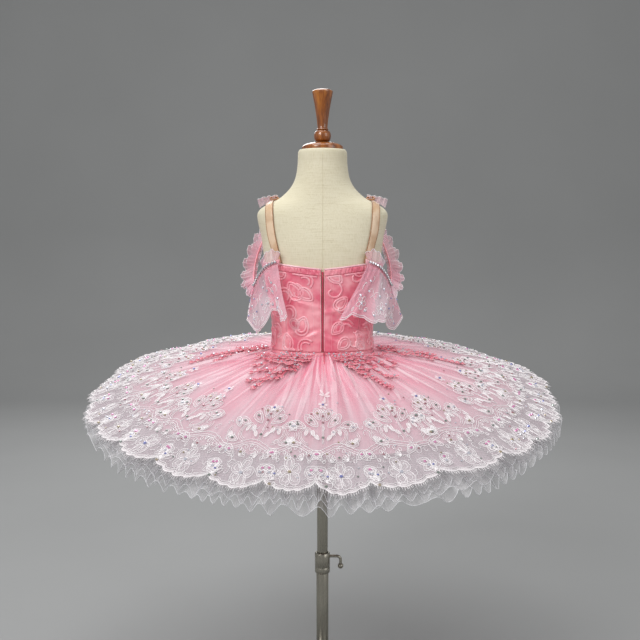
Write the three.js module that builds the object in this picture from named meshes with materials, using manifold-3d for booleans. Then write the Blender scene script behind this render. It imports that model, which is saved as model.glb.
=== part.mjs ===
// A child's ballet tutu on a limbless linen dress form with a telescopic steel stand.
// Millimetres, +Z up, origin at the middle of the base's underside. The garment's back faces -Y.
// Angles run from the centre back towards the wearer's right hand, which is +X.

import * as THREE from 'three';
import { mergeVertices } from 'three/addons/utils/BufferGeometryUtils.js';
import Module from 'manifold-3d';

const wasm = await Module();
wasm.setup();

// ---- driving dimensions ------------------------------------------------------------------------

const degree = Math.PI / 180;
const seamGap = 0.3;

const waistHeight = 619;
const form = { neckTop: 965, boreTop: 560.3, columns: 36 };
const cap = { radius: 36, brim: 4, dome: 10 };
const finial = { ballRadius: 14.8, ballHeight: 19, stemRadius: 8.7, topRadius: 18.3, topHeight: 1070 };

const stand = { baseRadius: 140, baseThickness: 8, hubRadius: 24, hubHeight: 30 };
const outerTube = { radius: 11, bore: 10.05, top: 226 };
const innerTube = { radius: 9.8, bore: 8.6, bottom: 110, top: 560 };
const collar = { radius: 13.7, bottom: 207, top: 244.4, screwHeight: 237, screwBore: 3.3 };
const handle = { rodRadius: 2.6, shankStart: 10.6, reach: 33, drop: 18, knobRadius: 5.2 };

const bodice = { gap: 0.8, thickness: 2, zipHalfWidth: 1.3, piping: 3 };
const strap = { width: 14.5, gap: 1.7, thickness: 1.6, backX: 76, topX: 92, frontX: 84 };
const basque = { bottom: 560, thickness: 1.5, layerGap: 1.7 };

const scallopCount = 28;
const columnsPerScallop = 4;
const skirt = {
  rimRadius: 394,
  scallopDepth: 15,
  rimHeight: 542,
  rimTilt: 68,
  bulge: 7,
  gatherHeight: 3,
  lobeDroop: 12,
  thickness: 1.2,
};

// The stiff net layers below, from the top down: seam height, extra radius, and how far each one's
// edge hangs under the lace at the front and at the back.
const netLayers = [
  { name: 'net_upper', seam: 600, extra: 6, under: 5, underBack: 7 },
  { name: 'net_middle', seam: 588, extra: 12, under: 7.5, underBack: 13 },
  { name: 'net_lower', seam: 575, extra: 17, under: 10, underBack: 19 },
];

// Horizontal sections of the dress form, from the hips up.
const formSections = [
  { height: 455, halfWidth: 64, halfDepth: 54, forward: 0, squareness: 2 },
  { height: 461, halfWidth: 84, halfDepth: 72, forward: 0, squareness: 2.05 },
  { height: 478, halfWidth: 101, halfDepth: 85, forward: 0, squareness: 2.1 },
  { height: 515, halfWidth: 107, halfDepth: 89, forward: 0, squareness: 2.15 },
  { height: 565, halfWidth: 99, halfDepth: 82, forward: 0, squareness: 2.15 },
  { height: 600, halfWidth: 90.5, halfDepth: 76, forward: 0, squareness: 2.15 },
  { height: 620, halfWidth: 87.6, halfDepth: 74, forward: 0, squareness: 2.15 },
  { height: 650, halfWidth: 85.5, halfDepth: 73, forward: 0, squareness: 2.15 },
  { height: 690, halfWidth: 89, halfDepth: 74, forward: 1, squareness: 2.2 },
  { height: 740, halfWidth: 97, halfDepth: 76, forward: 2, squareness: 2.25 },
  { height: 780, halfWidth: 103, halfDepth: 75, forward: 2, squareness: 2.35 },
  { height: 815, halfWidth: 107.5, halfDepth: 68, forward: 0, squareness: 2.4 },
  { height: 838, halfWidth: 112.5, halfDepth: 60, forward: -3, squareness: 2.35 },
  { height: 853, halfWidth: 114, halfDepth: 54, forward: -5, squareness: 2.3 },
  { height: 862, halfWidth: 109, halfDepth: 50.5, forward: -6, squareness: 2.2 },
  { height: 870, halfWidth: 97, halfDepth: 48.5, forward: -6, squareness: 2.1 },
  { height: 880, halfWidth: 77, halfDepth: 46.5, forward: -6, squareness: 2 },
  { height: 892, halfWidth: 62.5, halfDepth: 45, forward: -5, squareness: 2 },
  { height: 904, halfWidth: 53, halfDepth: 44, forward: -4, squareness: 2 },
  { height: 918, halfWidth: 47, halfDepth: 43, forward: -3, squareness: 2 },
  { height: 940, halfWidth: 43.6, halfDepth: 42, forward: -1, squareness: 2 },
  { height: 961, halfWidth: 42.6, halfDepth: 41.5, forward: 0, squareness: 2 },
  { height: form.neckTop, halfWidth: 40.5, halfDepth: 39.5, forward: 0, squareness: 2 },
];

// Height of the bodice's top edge round the body.
const necklineHeights = [
  { angle: 0, height: 757 },
  { angle: 45, height: 766 },
  { angle: 90, height: 769 },
  { angle: 135, height: 782 },
  { angle: 180, height: 778 },
];

// The bodice panels between their seams, as angles from the centre back.
const panels = [
  { name: 'bodice_back_right', from: 0, to: 43, columns: 5 },
  { name: 'bodice_side_back_right', from: 43, to: 92, columns: 5 },
  { name: 'bodice_side_front_right', from: 92, to: 139, columns: 5 },
  { name: 'bodice_front', from: 139, to: 221, columns: 8 },
  { name: 'bodice_side_front_left', from: 221, to: 268, columns: 5 },
  { name: 'bodice_side_back_left', from: 268, to: 317, columns: 5 },
  { name: 'bodice_back_left', from: 317, to: 360, columns: 5 },
];

// The elastic arm loop of the off-shoulder sleeve, from its joint at the back round to the front strap.
const armLoop = [
  { out: 73, back: 69, height: 773 },
  { out: 93, back: 62, height: 764 },
  { out: 107, back: 46, height: 748 },
  { out: 117, back: 20, height: 730 },
  { out: 122, back: -6, height: 738 },
  { out: 121, back: -30, height: 766 },
  { out: 112, back: -46, height: 798 },
  { out: 100, back: -52, height: 822 },
];

// The free edge of the ruffle that stands out from the arm loop's outer half.
const ruffleEdge = [
  { out: 124, back: 34, height: 707 },
  { out: 140, back: 14, height: 727 },
  { out: 142, back: -8, height: 752 },
  { out: 136, back: -34, height: 786 },
  { out: 121, back: -54, height: 818 },
  { out: 108, back: -60, height: 833 },
];

// The hem of each lace drape, from the middle of the back outwards and round to the front.
const drapeHems = {
  right: [
    { out: 26, back: 90, height: 674 },
    { out: 54, back: 93, height: 683 },
    { out: 85, back: 82, height: 670 },
    { out: 104, back: 72, height: 671 },
    { out: 125, back: 50, height: 654 },
    { out: 135, back: 14, height: 678 },
    { out: 128, back: -20, height: 692 },
    { out: 112, back: -46, height: 712 },
  ],
  left: [
    { out: 58, back: 92, height: 680 },
    { out: 67, back: 90, height: 673 },
    { out: 84, back: 76, height: 692 },
    { out: 98, back: 70, height: 660 },
    { out: 122, back: 50, height: 655 },
    { out: 129, back: 12, height: 672 },
    { out: 124, back: -20, height: 690 },
    { out: 110, back: -46, height: 710 },
  ],
};

// Beaded leaf sprays on the skirt: each runs outwards from the waist along its own line.
const sprays = [
  { name: 'spray_back_left', fromAngle: -13, toAngle: -38, from: 0.03, to: 0.33, width: 26 },
  { name: 'spray_back_right', fromAngle: 14, toAngle: 36, from: 0.03, to: 0.3, width: 24 },
  { name: 'spray_side_left', fromAngle: -104, toAngle: -93, from: 0.02, to: 0.46, width: 15 },
  { name: 'spray_side_right', fromAngle: 104, toAngle: 94, from: 0.02, to: 0.5, width: 15 },
];

// ---- finishes ----------------------------------------------------------------------------------

const finish = (color, roughness, metalness = 0) =>
  new THREE.MeshStandardMaterial({ color, roughness, metalness });

const finishes = {
  satin: finish('#e8808f', 0.4),
  piping: finish('#f4b6bd', 0.4),
  zip: finish('#7d1230', 0.6),
  elastic: finish('#cfa27f', 0.35),
  pinkTulle: finish('#f0a3b8', 0.8),
  whiteTulle: finish('#f2eef0', 0.8),
  lace: finish('#ece2ea', 0.7),
  beading: finish('#cf4a66', 0.5),
  crystal: finish('#dfe3ea', 0.1),
  linen: finish('#e2d8ba', 0.85),
  wood: finish('#9a5c22', 0.3),
  steel: finish('#b9b7b0', 0.25, 1),
  base: finish('#a5a4a0', 0.4, 1),
};

// ---- tables and sections -----------------------------------------------------------------------

// A smooth value between the rows of a table, by cubic pieces through them.
function tableValue(rows, key, at, column) {
  const last = rows.length - 1;
  const clamped = THREE.MathUtils.clamp(at, rows[0][key], rows[last][key]);
  let index = rows.findIndex((row) => row[key] > clamped) - 1;
  if (index < 0) {
    index = last - 1;
  }
  const slope = (i) => {
    const before = rows[Math.max(i - 1, 0)];
    const after = rows[Math.min(i + 1, last)];
    return (after[column] - before[column]) / (after[key] - before[key]);
  };
  const low = rows[index];
  const high = rows[index + 1];
  const step = high[key] - low[key];
  const s = (clamped - low[key]) / step;
  const rise = high[column] - low[column];
  const curve = low[column] + rise * s * s * (3 - 2 * s);
  const bend = s * (1 - s) * ((1 - s) * slope(index) - s * slope(index + 1)) * step;
  return curve + bend;
}

// A point on the dress form's surface, moved outwards by a distance.
function bodyPoint(height, angle, outwards = 0) {
  const value = (column) => tableValue(formSections, 'height', height, column);
  const power = 2 / value('squareness');
  const side = Math.sin(angle);
  const front = -Math.cos(angle);
  const x = (value('halfWidth') + outwards) * Math.sign(side) * Math.abs(side) ** power;
  const y = (value('halfDepth') + outwards) * Math.sign(front) * Math.abs(front) ** power;
  return new THREE.Vector3(x, y + value('forward'), height);
}

function insideForm(point) {
  const value = (column) => tableValue(formSections, 'height', point.z, column);
  const squareness = value('squareness');
  const x = Math.abs(point.x) / value('halfWidth');
  const y = Math.abs(point.y - value('forward')) / value('halfDepth');
  return point.z < form.neckTop && x ** squareness + y ** squareness < 1;
}

// Where a line that starts inside the form comes out of it.
function formSurface(start, direction) {
  let near = 0;
  let far = 300;
  for (let step = 0; step < 40; step += 1) {
    const middle = (near + far) / 2;
    if (insideForm(start.clone().addScaledVector(direction, middle))) {
      near = middle;
    } else {
      far = middle;
    }
  }
  return near;
}

function necklineHeight(angle) {
  const turned = Math.abs(((angle / degree + 540) % 360) - 180);
  return tableValue(necklineHeights, 'angle', turned, 'height');
}

// ---- walls and solids --------------------------------------------------------------------------

function closedGeometry(points, triangles) {
  let volume = 0;
  for (const [a, b, c] of triangles) {
    volume += points[a].dot(points[b].clone().cross(points[c]));
  }
  const faces = volume > 0 ? triangles : triangles.map(([a, b, c]) => [a, c, b]);
  const geometry = new THREE.BufferGeometry();
  const positions = points.flatMap((point) => point.toArray());
  geometry.setAttribute('position', new THREE.Float32BufferAttribute(positions, 3));
  geometry.setIndex(faces.flat());
  geometry.computeVertexNormals();
  return geometry;
}

// A cloth wall. The faces function gives the outer and the inner point at (u, v), each from 0 to 1.
// A ring closes on itself in u.
function clothWall({ across, along, ring = false, faces }) {
  const columns = ring ? across : across + 1;
  const rows = along + 1;
  const points = [];
  for (const side of [0, 1]) {
    for (let row = 0; row < rows; row += 1) {
      for (let column = 0; column < columns; column += 1) {
        points.push(faces(column / across, row / along)[side]);
      }
    }
  }
  const place = (side, row, column) => (side * rows + row) * columns + (column % columns);
  const triangles = [];
  const quad = (a, b, c, d) => triangles.push([a, b, c], [a, c, d]);
  for (let column = 0; column < across; column += 1) {
    const next = column + 1;
    for (let row = 0; row < along; row += 1) {
      quad(place(0, row, column), place(0, row, next), place(0, row + 1, next), place(0, row + 1, column));
      quad(place(1, row, column), place(1, row + 1, column), place(1, row + 1, next), place(1, row, next));
    }
    quad(place(0, 0, column), place(1, 0, column), place(1, 0, next), place(0, 0, next));
    quad(place(0, along, column), place(0, along, next), place(1, along, next), place(1, along, column));
  }
  for (let row = 0; row < along && !ring; row += 1) {
    quad(place(0, row, 0), place(0, row + 1, 0), place(1, row + 1, 0), place(1, row, 0));
    quad(place(0, row, across), place(1, row, across), place(1, row + 1, across), place(0, row + 1, across));
  }
  return closedGeometry(points, triangles);
}

// The two faces of a thin sheet, half its thickness to each side of a surface.
function sheetFaces(surface, thickness) {
  const reach = 0.004;
  return (u, v) => {
    const point = surface(u, v);
    const acrossU = surface(u + reach, v).sub(surface(u - reach, v));
    const alongV = surface(u, v + reach).sub(surface(u, v - reach));
    const normal = acrossU.cross(alongV).normalize();
    const half = thickness / 2;
    return [point.clone().addScaledVector(normal, half), point.clone().addScaledVector(normal, -half)];
  };
}

// A closed solid through horizontal rings of points.
function ringSolid(rings) {
  const columns = rings[0].length;
  const points = rings.flat();
  const triangles = [];
  for (let row = 0; row < rings.length - 1; row += 1) {
    for (let column = 0; column < columns; column += 1) {
      const a = row * columns + column;
      const b = row * columns + ((column + 1) % columns);
      triangles.push([a, b, b + columns], [a, b + columns, a + columns]);
    }
  }
  const middle = (ring) =>
    ring.reduce((sum, point) => sum.add(point), new THREE.Vector3()).divideScalar(ring.length);
  const bottom = points.push(middle(rings[0])) - 1;
  const top = points.push(middle(rings.at(-1))) - 1;
  const topStart = (rings.length - 1) * columns;
  for (let column = 0; column < columns; column += 1) {
    const next = (column + 1) % columns;
    triangles.push([bottom, next, column], [top, topStart + column, topStart + next]);
  }
  return closedGeometry(points, triangles);
}

// A turned solid about the vertical axis, from a profile of radius and height.
function turned(profile, segments = 24) {
  const outline = profile.map(([radius, height]) => new THREE.Vector2(radius, height));
  const geometry = new THREE.LatheGeometry(outline, segments);
  geometry.rotateX(Math.PI / 2);
  return merged(geometry);
}

function merged(geometry) {
  geometry.deleteAttribute('normal');
  geometry.deleteAttribute('uv');
  const positions = geometry.getAttribute('position');
  const count = geometry.index ? geometry.index.count : positions.count;
  const at = (i) => new THREE.Vector3().fromBufferAttribute(positions, geometry.index ? geometry.index.getX(i) : i);
  const corners = Array.from({ length: count }, (_, i) => at(i));
  const soup = new THREE.BufferGeometry().setFromPoints(corners);
  const welded = mergeVertices(soup, 1e-4);
  const index = welded.index.array;
  const welds = welded.getAttribute('position');
  const points = Array.from({ length: welds.count }, (_, i) => new THREE.Vector3().fromBufferAttribute(welds, i));
  const triangles = [];
  for (let i = 0; i < index.length; i += 3) {
    const face = [index[i], index[i + 1], index[i + 2]];
    if (new Set(face).size === 3) {
      triangles.push(face);
    }
  }
  return closedGeometry(points, triangles);
}

function solidOf(geometry) {
  const closed = geometry.index ? geometry : merged(geometry);
  return new wasm.Manifold(new wasm.Mesh({
    numProp: 3,
    vertProperties: new Float32Array(closed.getAttribute('position').array),
    triVerts: new Uint32Array(closed.index.array),
  }));
}

function geometryOf(solid) {
  const mesh = solid.getMesh();
  const geometry = new THREE.BufferGeometry();
  geometry.setAttribute('position', new THREE.Float32BufferAttribute(mesh.vertProperties, 3));
  geometry.setIndex(Array.from(mesh.triVerts));
  geometry.computeVertexNormals();
  return geometry;
}

function addPiece(group, name, geometry, material) {
  const mesh = new THREE.Mesh(geometry, material);
  mesh.name = name;
  group.add(mesh);
}

// ---- stand -------------------------------------------------------------------------------------

function basePlate() {
  const { baseRadius: radius, baseThickness: thickness } = stand;
  return turned([
    [0, 0],
    [radius - 1.5, 0],
    [radius, 1.5],
    [radius, thickness - 3],
    [radius - 3, thickness],
    [0, thickness],
  ], 56);
}

function baseHub() {
  const bottom = stand.baseThickness + seamGap;
  const top = bottom + stand.hubHeight;
  const bore = outerTube.radius + seamGap;
  return turned([
    [bore, bottom],
    [stand.hubRadius, bottom],
    [stand.hubRadius, bottom + 5],
    [stand.hubRadius - 8, bottom + 9],
    [stand.hubRadius - 9, top - 2],
    [stand.hubRadius - 11, top],
    [bore, top],
    [bore, bottom],
  ]);
}

function tube({ radius, bore }, bottom, top) {
  return turned([
    [bore, bottom],
    [radius, bottom],
    [radius, top],
    [bore, top],
    [bore, bottom],
  ]);
}

function clampCollar() {
  const chamfer = 2;
  const bore = outerTube.radius + seamGap;
  const lip = innerTube.radius + 0.25;
  const shoulder = outerTube.top + seamGap;
  const body = turned([
    [bore, collar.bottom],
    [collar.radius - chamfer, collar.bottom],
    [collar.radius, collar.bottom + chamfer],
    [collar.radius, collar.top - chamfer],
    [collar.radius - chamfer, collar.top],
    [lip, collar.top],
    [lip, shoulder],
    [bore, shoulder],
    [bore, collar.bottom],
  ]);
  const drill = new THREE.CylinderGeometry(collar.screwBore, collar.screwBore, 12, 16);
  drill.rotateZ(Math.PI / 2);
  drill.translate(collar.radius + 1, 0, collar.screwHeight);
  return geometryOf(solidOf(body).subtract(solidOf(merged(drill))));
}

// The clamp screw's bent handle: a rod that runs straight out, turns down and ends in a knob.
function clampHandle() {
  const height = collar.screwHeight;
  const bend = 7;
  const path = new THREE.CurvePath();
  const start = new THREE.Vector3(handle.shankStart, 0, height);
  const bendStart = new THREE.Vector3(handle.reach - bend, 0, height);
  const corner = new THREE.Vector3(handle.reach, 0, height);
  const bendEnd = new THREE.Vector3(handle.reach, 0, height - bend);
  const end = new THREE.Vector3(handle.reach, 0, height - handle.drop);
  path.add(new THREE.LineCurve3(start, bendStart));
  path.add(new THREE.QuadraticBezierCurve3(bendStart, corner, bendEnd));
  path.add(new THREE.LineCurve3(bendEnd, end));
  const section = new THREE.Shape();
  section.absarc(0, 0, handle.rodRadius, 0, Math.PI * 2);
  const rod = new THREE.ExtrudeGeometry(section, { extrudePath: path, steps: 16, curveSegments: 6 });
  const knob = new THREE.SphereGeometry(handle.knobRadius, 14, 10);
  knob.translate(end.x, end.y, end.z);
  return geometryOf(solidOf(merged(rod)).add(solidOf(merged(knob))));
}

// ---- dress form --------------------------------------------------------------------------------

function formTorso() {
  const rings = formSections.map(({ height }) =>
    Array.from({ length: form.columns }, (_, i) => bodyPoint(height, (i / form.columns) * 2 * Math.PI)));
  const boreRadius = innerTube.radius + seamGap;
  const bottom = formSections[0].height;
  const depth = form.boreTop - bottom;
  const bore = new THREE.CylinderGeometry(boreRadius, boreRadius, depth + 20, 24);
  bore.rotateX(Math.PI / 2);
  bore.translate(0, 0, bottom + depth / 2 - 10);
  return geometryOf(solidOf(ringSolid(rings)).subtract(solidOf(merged(bore))));
}

function neckCap() {
  const bottom = form.neckTop + seamGap;
  return turned([
    [0, bottom],
    [cap.radius - 1, bottom],
    [cap.radius, bottom + 1],
    [cap.radius, bottom + cap.brim],
    [cap.radius * 0.86, bottom + cap.brim + cap.dome * 0.55],
    [cap.radius * 0.6, bottom + cap.brim + cap.dome * 0.9],
    [cap.radius * 0.3, bottom + cap.brim + cap.dome],
    [0, bottom + cap.brim + cap.dome],
  ], 36);
}

function turnedFinial() {
  const bottom = form.neckTop + cap.brim + cap.dome + 2 * seamGap;
  const neck = bottom + finial.ballHeight;
  const ball = [0.25, 0.5, 0.75].map((share) => [
    finial.ballRadius * Math.sin(share * Math.PI) ** 0.55,
    bottom + finial.ballHeight * share,
  ]);
  return turned([
    [0, bottom],
    [finial.ballRadius * 0.62, bottom],
    ...ball,
    [finial.stemRadius, neck],
    [finial.stemRadius + 1.6, neck + 1.5],
    [finial.stemRadius + 0.2, neck + 3.5],
    [finial.stemRadius, neck + 5],
    [finial.stemRadius + 2.4, neck + 22],
    [finial.topRadius - 1.8, finial.topHeight - 12],
    [finial.topRadius, finial.topHeight - 4],
    [finial.topRadius - 4, finial.topHeight - 1],
    [0, finial.topHeight],
  ], 28);
}

// ---- bodice ------------------------------------------------------------------------------------

// The angle that keeps a seam's edge half a gap from the seam line at this place.
function seamTurn(atZip) {
  const radius = 80;
  return (atZip ? bodice.zipHalfWidth : seamGap / 2 + 0.05) / radius;
}

function bodicePanel({ from, to, columns }) {
  const start = from * degree + seamTurn(from === 0);
  const end = to * degree - seamTurn(to === 360);
  const hem = waistHeight - seamGap;
  return clothWall({
    across: columns,
    along: 6,
    faces: (u, v) => {
      const angle = THREE.MathUtils.lerp(start, end, u);
      const height = THREE.MathUtils.lerp(hem, necklineHeight(angle), v);
      return [bodyPoint(height, angle, bodice.gap + bodice.thickness), bodyPoint(height, angle, bodice.gap)];
    },
  });
}

function necklinePiping() {
  return clothWall({
    across: 44,
    along: 1,
    faces: (u, v) => {
      const angle = THREE.MathUtils.lerp(seamTurn(true), 2 * Math.PI - seamTurn(true), u);
      const height = necklineHeight(angle) + seamGap + bodice.piping * v;
      const outer = bodyPoint(height, angle, bodice.gap + bodice.piping);
      return [outer, bodyPoint(height, angle, bodice.gap)];
    },
  });
}

function backZip() {
  const half = bodice.zipHalfWidth - seamGap - 0.1;
  return clothWall({
    across: 1,
    along: 6,
    faces: (u, v) => {
      const height = THREE.MathUtils.lerp(waistHeight, necklineHeights[0].height - 1, v);
      const depth = (outwards) => bodyPoint(height, 0, outwards).setX(THREE.MathUtils.lerp(-half, half, u));
      return [depth(bodice.gap + 1.4), depth(bodice.gap)];
    },
  });
}

// ---- straps and sleeves ------------------------------------------------------------------------

// A point over the shoulder at a distance across the body, at a turn from the back to the front.
function overShoulder(x, turn, outwards) {
  const start = new THREE.Vector3(x, 0, 800);
  const direction = new THREE.Vector3(0, -Math.cos(turn), Math.sin(turn));
  const surface = (s, t) => {
    const line = new THREE.Vector3(0, -Math.cos(t), Math.sin(t));
    const origin = new THREE.Vector3(s, 0, 800);
    return origin.clone().addScaledVector(line, formSurface(origin, line));
  };
  const side = surface(x + 0.5, turn).sub(surface(x - 0.5, turn));
  const along = surface(x, turn + 0.01).sub(surface(x, turn - 0.01));
  const normal = side.cross(along).normalize();
  const point = start.addScaledVector(direction, formSurface(start, direction));
  return point.addScaledVector(normal, normal.dot(direction) > 0 ? outwards : -outwards);
}

function shoulderStrap(side) {
  const startTurn = -27 * degree;
  const endTurn = 190 * degree;
  return clothWall({
    across: 2,
    along: 15,
    faces: (u, v) => {
      const turn = THREE.MathUtils.lerp(startTurn, endTurn, v);
      const rise = Math.sin(Math.PI * Math.min(v / 0.9, 1));
      const edge = THREE.MathUtils.lerp(strap.backX, strap.frontX, v);
      const middle = THREE.MathUtils.lerp(edge, strap.topX, rise);
      const x = side * (middle + (u - 0.5) * strap.width);
      return [
        overShoulder(x, turn, strap.gap + strap.thickness),
        overShoulder(x, turn, strap.gap),
      ];
    },
  });
}

// The little gathered frill that stands on the shoulder beside the strap.
function shoulderFrill(side) {
  const base = 4.6;
  return clothWall({
    across: 8,
    along: 1,
    faces: sheetFaces((u, v) => {
      const ripple = 2.4 * Math.sin(u * 4 * Math.PI) * v;
      const x = THREE.MathUtils.lerp(79, 110, u) + (u - 0.4) * 4 * v;
      const seat = overShoulder(side * Math.min(x, 110), 86 * degree, base + 0.6);
      return new THREE.Vector3(side * x, seat.y + ripple + 3 * v, seat.z + 14 * v);
    }, 1.2),
  });
}

function curveThrough(rows, side) {
  const points = rows.map(({ out, back, height }) => new THREE.Vector3(side * out, -back, height));
  return new THREE.CatmullRomCurve3(points, false, 'centripetal');
}

const curvePoint = (curve, at) => curve.getPoint(THREE.MathUtils.clamp(at, 0, 1));

// The direction away from the body, level, at a point of the arm loop.
function awayFromBody(point) {
  return new THREE.Vector3(point.x * 0.8, point.y, 0).normalize();
}

function armBand(side) {
  const loop = curveThrough(armLoop, side);
  const halfWidth = 3.2;
  return clothWall({
    across: 16,
    along: 1,
    faces: sheetFaces((u, v) => {
      const point = curvePoint(loop, u);
      return point.setZ(point.z + THREE.MathUtils.lerp(-halfWidth, halfWidth, v));
    }, 1.8),
  });
}

// Set stones in a chain along the back half of the arm loop.
function gemChain(side) {
  const loop = curveThrough(armLoop, side);
  const halfWidth = 2.2;
  const lift = 3.2;
  return clothWall({
    across: 12,
    along: 1,
    faces: sheetFaces((u, v) => {
      const point = curvePoint(loop, 0.02 + 0.44 * u);
      point.addScaledVector(awayFromBody(point), lift);
      return point.setZ(point.z + THREE.MathUtils.lerp(-halfWidth, halfWidth, v));
    }, 2.4),
  });
}

// A small fan of tulle that stands up from the loop's back joint.
function tulleFan(side) {
  const loop = curveThrough(armLoop, side);
  return clothWall({
    across: 8,
    along: 2,
    faces: sheetFaces((u, v) => {
      const root = curvePoint(loop, 0.02 + 0.2 * u);
      const arch = Math.sin(Math.PI * (0.16 + 0.68 * u));
      const spread = (u - 0.45) * 8 * v;
      const ripple = 1.6 * Math.sin(u * 6 * Math.PI) * v;
      return new THREE.Vector3(root.x + side * spread, root.y - 2 * v - ripple, root.z + 4.4 + 21 * arch * v);
    }, 1.2),
  });
}

function armRuffle(side) {
  const loop = curveThrough(armLoop, side);
  const edge = curveThrough(ruffleEdge, side);
  return clothWall({
    across: 20,
    along: 2,
    faces: sheetFaces((u, v) => {
      const root = curvePoint(loop, 0.49 + 0.5 * u);
      root.addScaledVector(awayFromBody(root), 2.4);
      const tip = curvePoint(edge, u);
      const ripple = 4 * Math.sin(u * 14 * Math.PI) * v;
      const point = root.lerp(tip, v);
      return point.setY(point.y - ripple * 0.6).setZ(point.z + ripple * 0.6);
    }, 1.2),
  });
}

// The lace drape that falls from the arm loop in a few deep flutes.
function laceDrape(side, hemRows) {
  const loop = curveThrough(armLoop, side);
  const hem = curveThrough(hemRows, side);
  return clothWall({
    across: 18,
    along: 4,
    faces: sheetFaces((u, v) => {
      const root = curvePoint(loop, 0.01 + 0.74 * u);
      root.z -= 4.6;
      root.addScaledVector(awayFromBody(root), 2 + 2 * v);
      const foot = curvePoint(hem, u);
      const flute = 3 * Math.sin(u * 5 * Math.PI) * v;
      const point = root.lerp(foot, v);
      return point.addScaledVector(awayFromBody(point), flute);
    }, 1.2),
  });
}

// ---- skirt -------------------------------------------------------------------------------------

const backShare = (angle) => (0.5 + 0.5 * Math.cos(angle)) ** 2;

// 0 in the notch between two scallops and 1 at the tip of each.
const scallopAt = (angle) => Math.abs(Math.sin((angle * scallopCount) / 2)) ** 0.75;

function rimHeightAt(angle) {
  return skirt.rimHeight - skirt.rimTilt * Math.cos(angle);
}

// A layer runs from its seam on the hip basque out to its rim.
function layerPoint(angle, share, { seam, rimRadius, rimHeight }) {
  const waist = bodyPoint(seam, angle, bodice.gap + basque.thickness + basque.layerGap);
  const rim = new THREE.Vector3(rimRadius * Math.sin(angle), -rimRadius * Math.cos(angle), rimHeight);
  const point = waist.lerp(rim, share);
  point.z += skirt.bulge * 4 * share * (1 - share);
  return point;
}

function lacePoint(angle, share) {
  const scallop = scallopAt(angle);
  const point = layerPoint(angle, share, {
    seam: waistHeight - 2.5,
    rimRadius: skirt.rimRadius + skirt.scallopDepth * scallop,
    rimHeight: rimHeightAt(angle),
  });
  const gather = Math.cos(angle * scallopCount) * skirt.gatherHeight * Math.min(share * 5, 1) * (1 - share);
  const lobe = skirt.lobeDroop * (0.6 - scallop) * share ** 3 * backShare(angle);
  point.z += gather + lobe;
  return point;
}

function overskirtLace() {
  return clothWall({
    across: scallopCount * columnsPerScallop,
    along: 3,
    ring: true,
    faces: (u, v) => {
      const point = lacePoint(u * 2 * Math.PI, v);
      return [point.clone().setZ(point.z + skirt.thickness), point];
    },
  });
}

// The pink tulle under the lace, which stops short of the scallops.
function pinkUnderskirt() {
  const reach = 0.8;
  const below = 4.6;
  return clothWall({
    across: scallopCount * columnsPerScallop,
    along: 2,
    ring: true,
    faces: (u, v) => {
      const point = lacePoint(u * 2 * Math.PI, v * reach);
      point.z -= below - 1.2 * v;
      return [point, point.clone().setZ(point.z - skirt.thickness)];
    },
  });
}

function netLayer({ seam, extra, under, underBack }) {
  const ruffles = scallopCount;
  const ruffleHeight = 3.5;
  return clothWall({
    across: ruffles * 2,
    along: 2,
    ring: true,
    faces: (u, v) => {
      const angle = u * 2 * Math.PI;
      const ruffle = Math.cos(angle * ruffles);
      const point = layerPoint(angle, v, {
        seam,
        rimRadius: skirt.rimRadius + extra + 3 * ruffle,
        rimHeight: rimHeightAt(angle) - under - underBack * backShare(angle),
      });
      point.z += ruffle * ruffleHeight * v * v - skirt.bulge * 4 * v * (1 - v);
      return [point, point.clone().setZ(point.z - 1.5)];
    },
  });
}

function hipBasque() {
  return clothWall({
    across: 36,
    along: 1,
    ring: true,
    faces: (u, v) => {
      const height = THREE.MathUtils.lerp(basque.bottom, waistHeight - 2 * seamGap, v);
      const angle = u * 2 * Math.PI;
      return [bodyPoint(height, angle, bodice.gap + basque.thickness), bodyPoint(height, angle, bodice.gap)];
    },
  });
}

// A leaf-shaped spray, made from the lace's own points moved up.
function beadedSpray({ fromAngle, toAngle, from, to, width }) {
  const lift = 2.6;
  const thickness = 2;
  return clothWall({
    across: 2,
    along: 8,
    faces: (u, v) => {
      const share = THREE.MathUtils.lerp(from, to, v);
      const radius = 90 + (skirt.rimRadius - 90) * share;
      const leaf = 0.12 + 0.88 * Math.sin(Math.PI * (0.12 + 0.8 * v));
      const turn = ((u - 0.5) * 2 * width * leaf) / radius;
      const angle = THREE.MathUtils.lerp(fromAngle, toAngle, v) * degree + turn;
      const point = lacePoint(angle, share);
      point.z += skirt.thickness + lift;
      return [point.clone().setZ(point.z + thickness), point];
    },
  });
}

// ---- assembly ----------------------------------------------------------------------------------

function buildStand() {
  const group = new THREE.Group();
  addPiece(group, 'base_plate', basePlate(), finishes.base);
  addPiece(group, 'base_hub', baseHub(), finishes.steel);
  const outerBottom = stand.baseThickness + seamGap;
  addPiece(group, 'outer_tube', tube(outerTube, outerBottom, outerTube.top), finishes.steel);
  addPiece(group, 'clamp_collar', clampCollar(), finishes.steel);
  addPiece(group, 'clamp_handle', clampHandle(), finishes.steel);
  addPiece(group, 'inner_tube', tube(innerTube, innerTube.bottom, innerTube.top), finishes.steel);
  return group;
}

function buildForm() {
  const group = new THREE.Group();
  addPiece(group, 'form_torso', formTorso(), finishes.linen);
  addPiece(group, 'neck_cap', neckCap(), finishes.wood);
  addPiece(group, 'finial', turnedFinial(), finishes.wood);
  return group;
}

function buildBodice() {
  const group = new THREE.Group();
  panels.forEach((panel) => addPiece(group, panel.name, bodicePanel(panel), finishes.satin));
  addPiece(group, 'neckline_piping', necklinePiping(), finishes.piping);
  addPiece(group, 'back_zip', backZip(), finishes.zip);
  return group;
}

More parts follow.
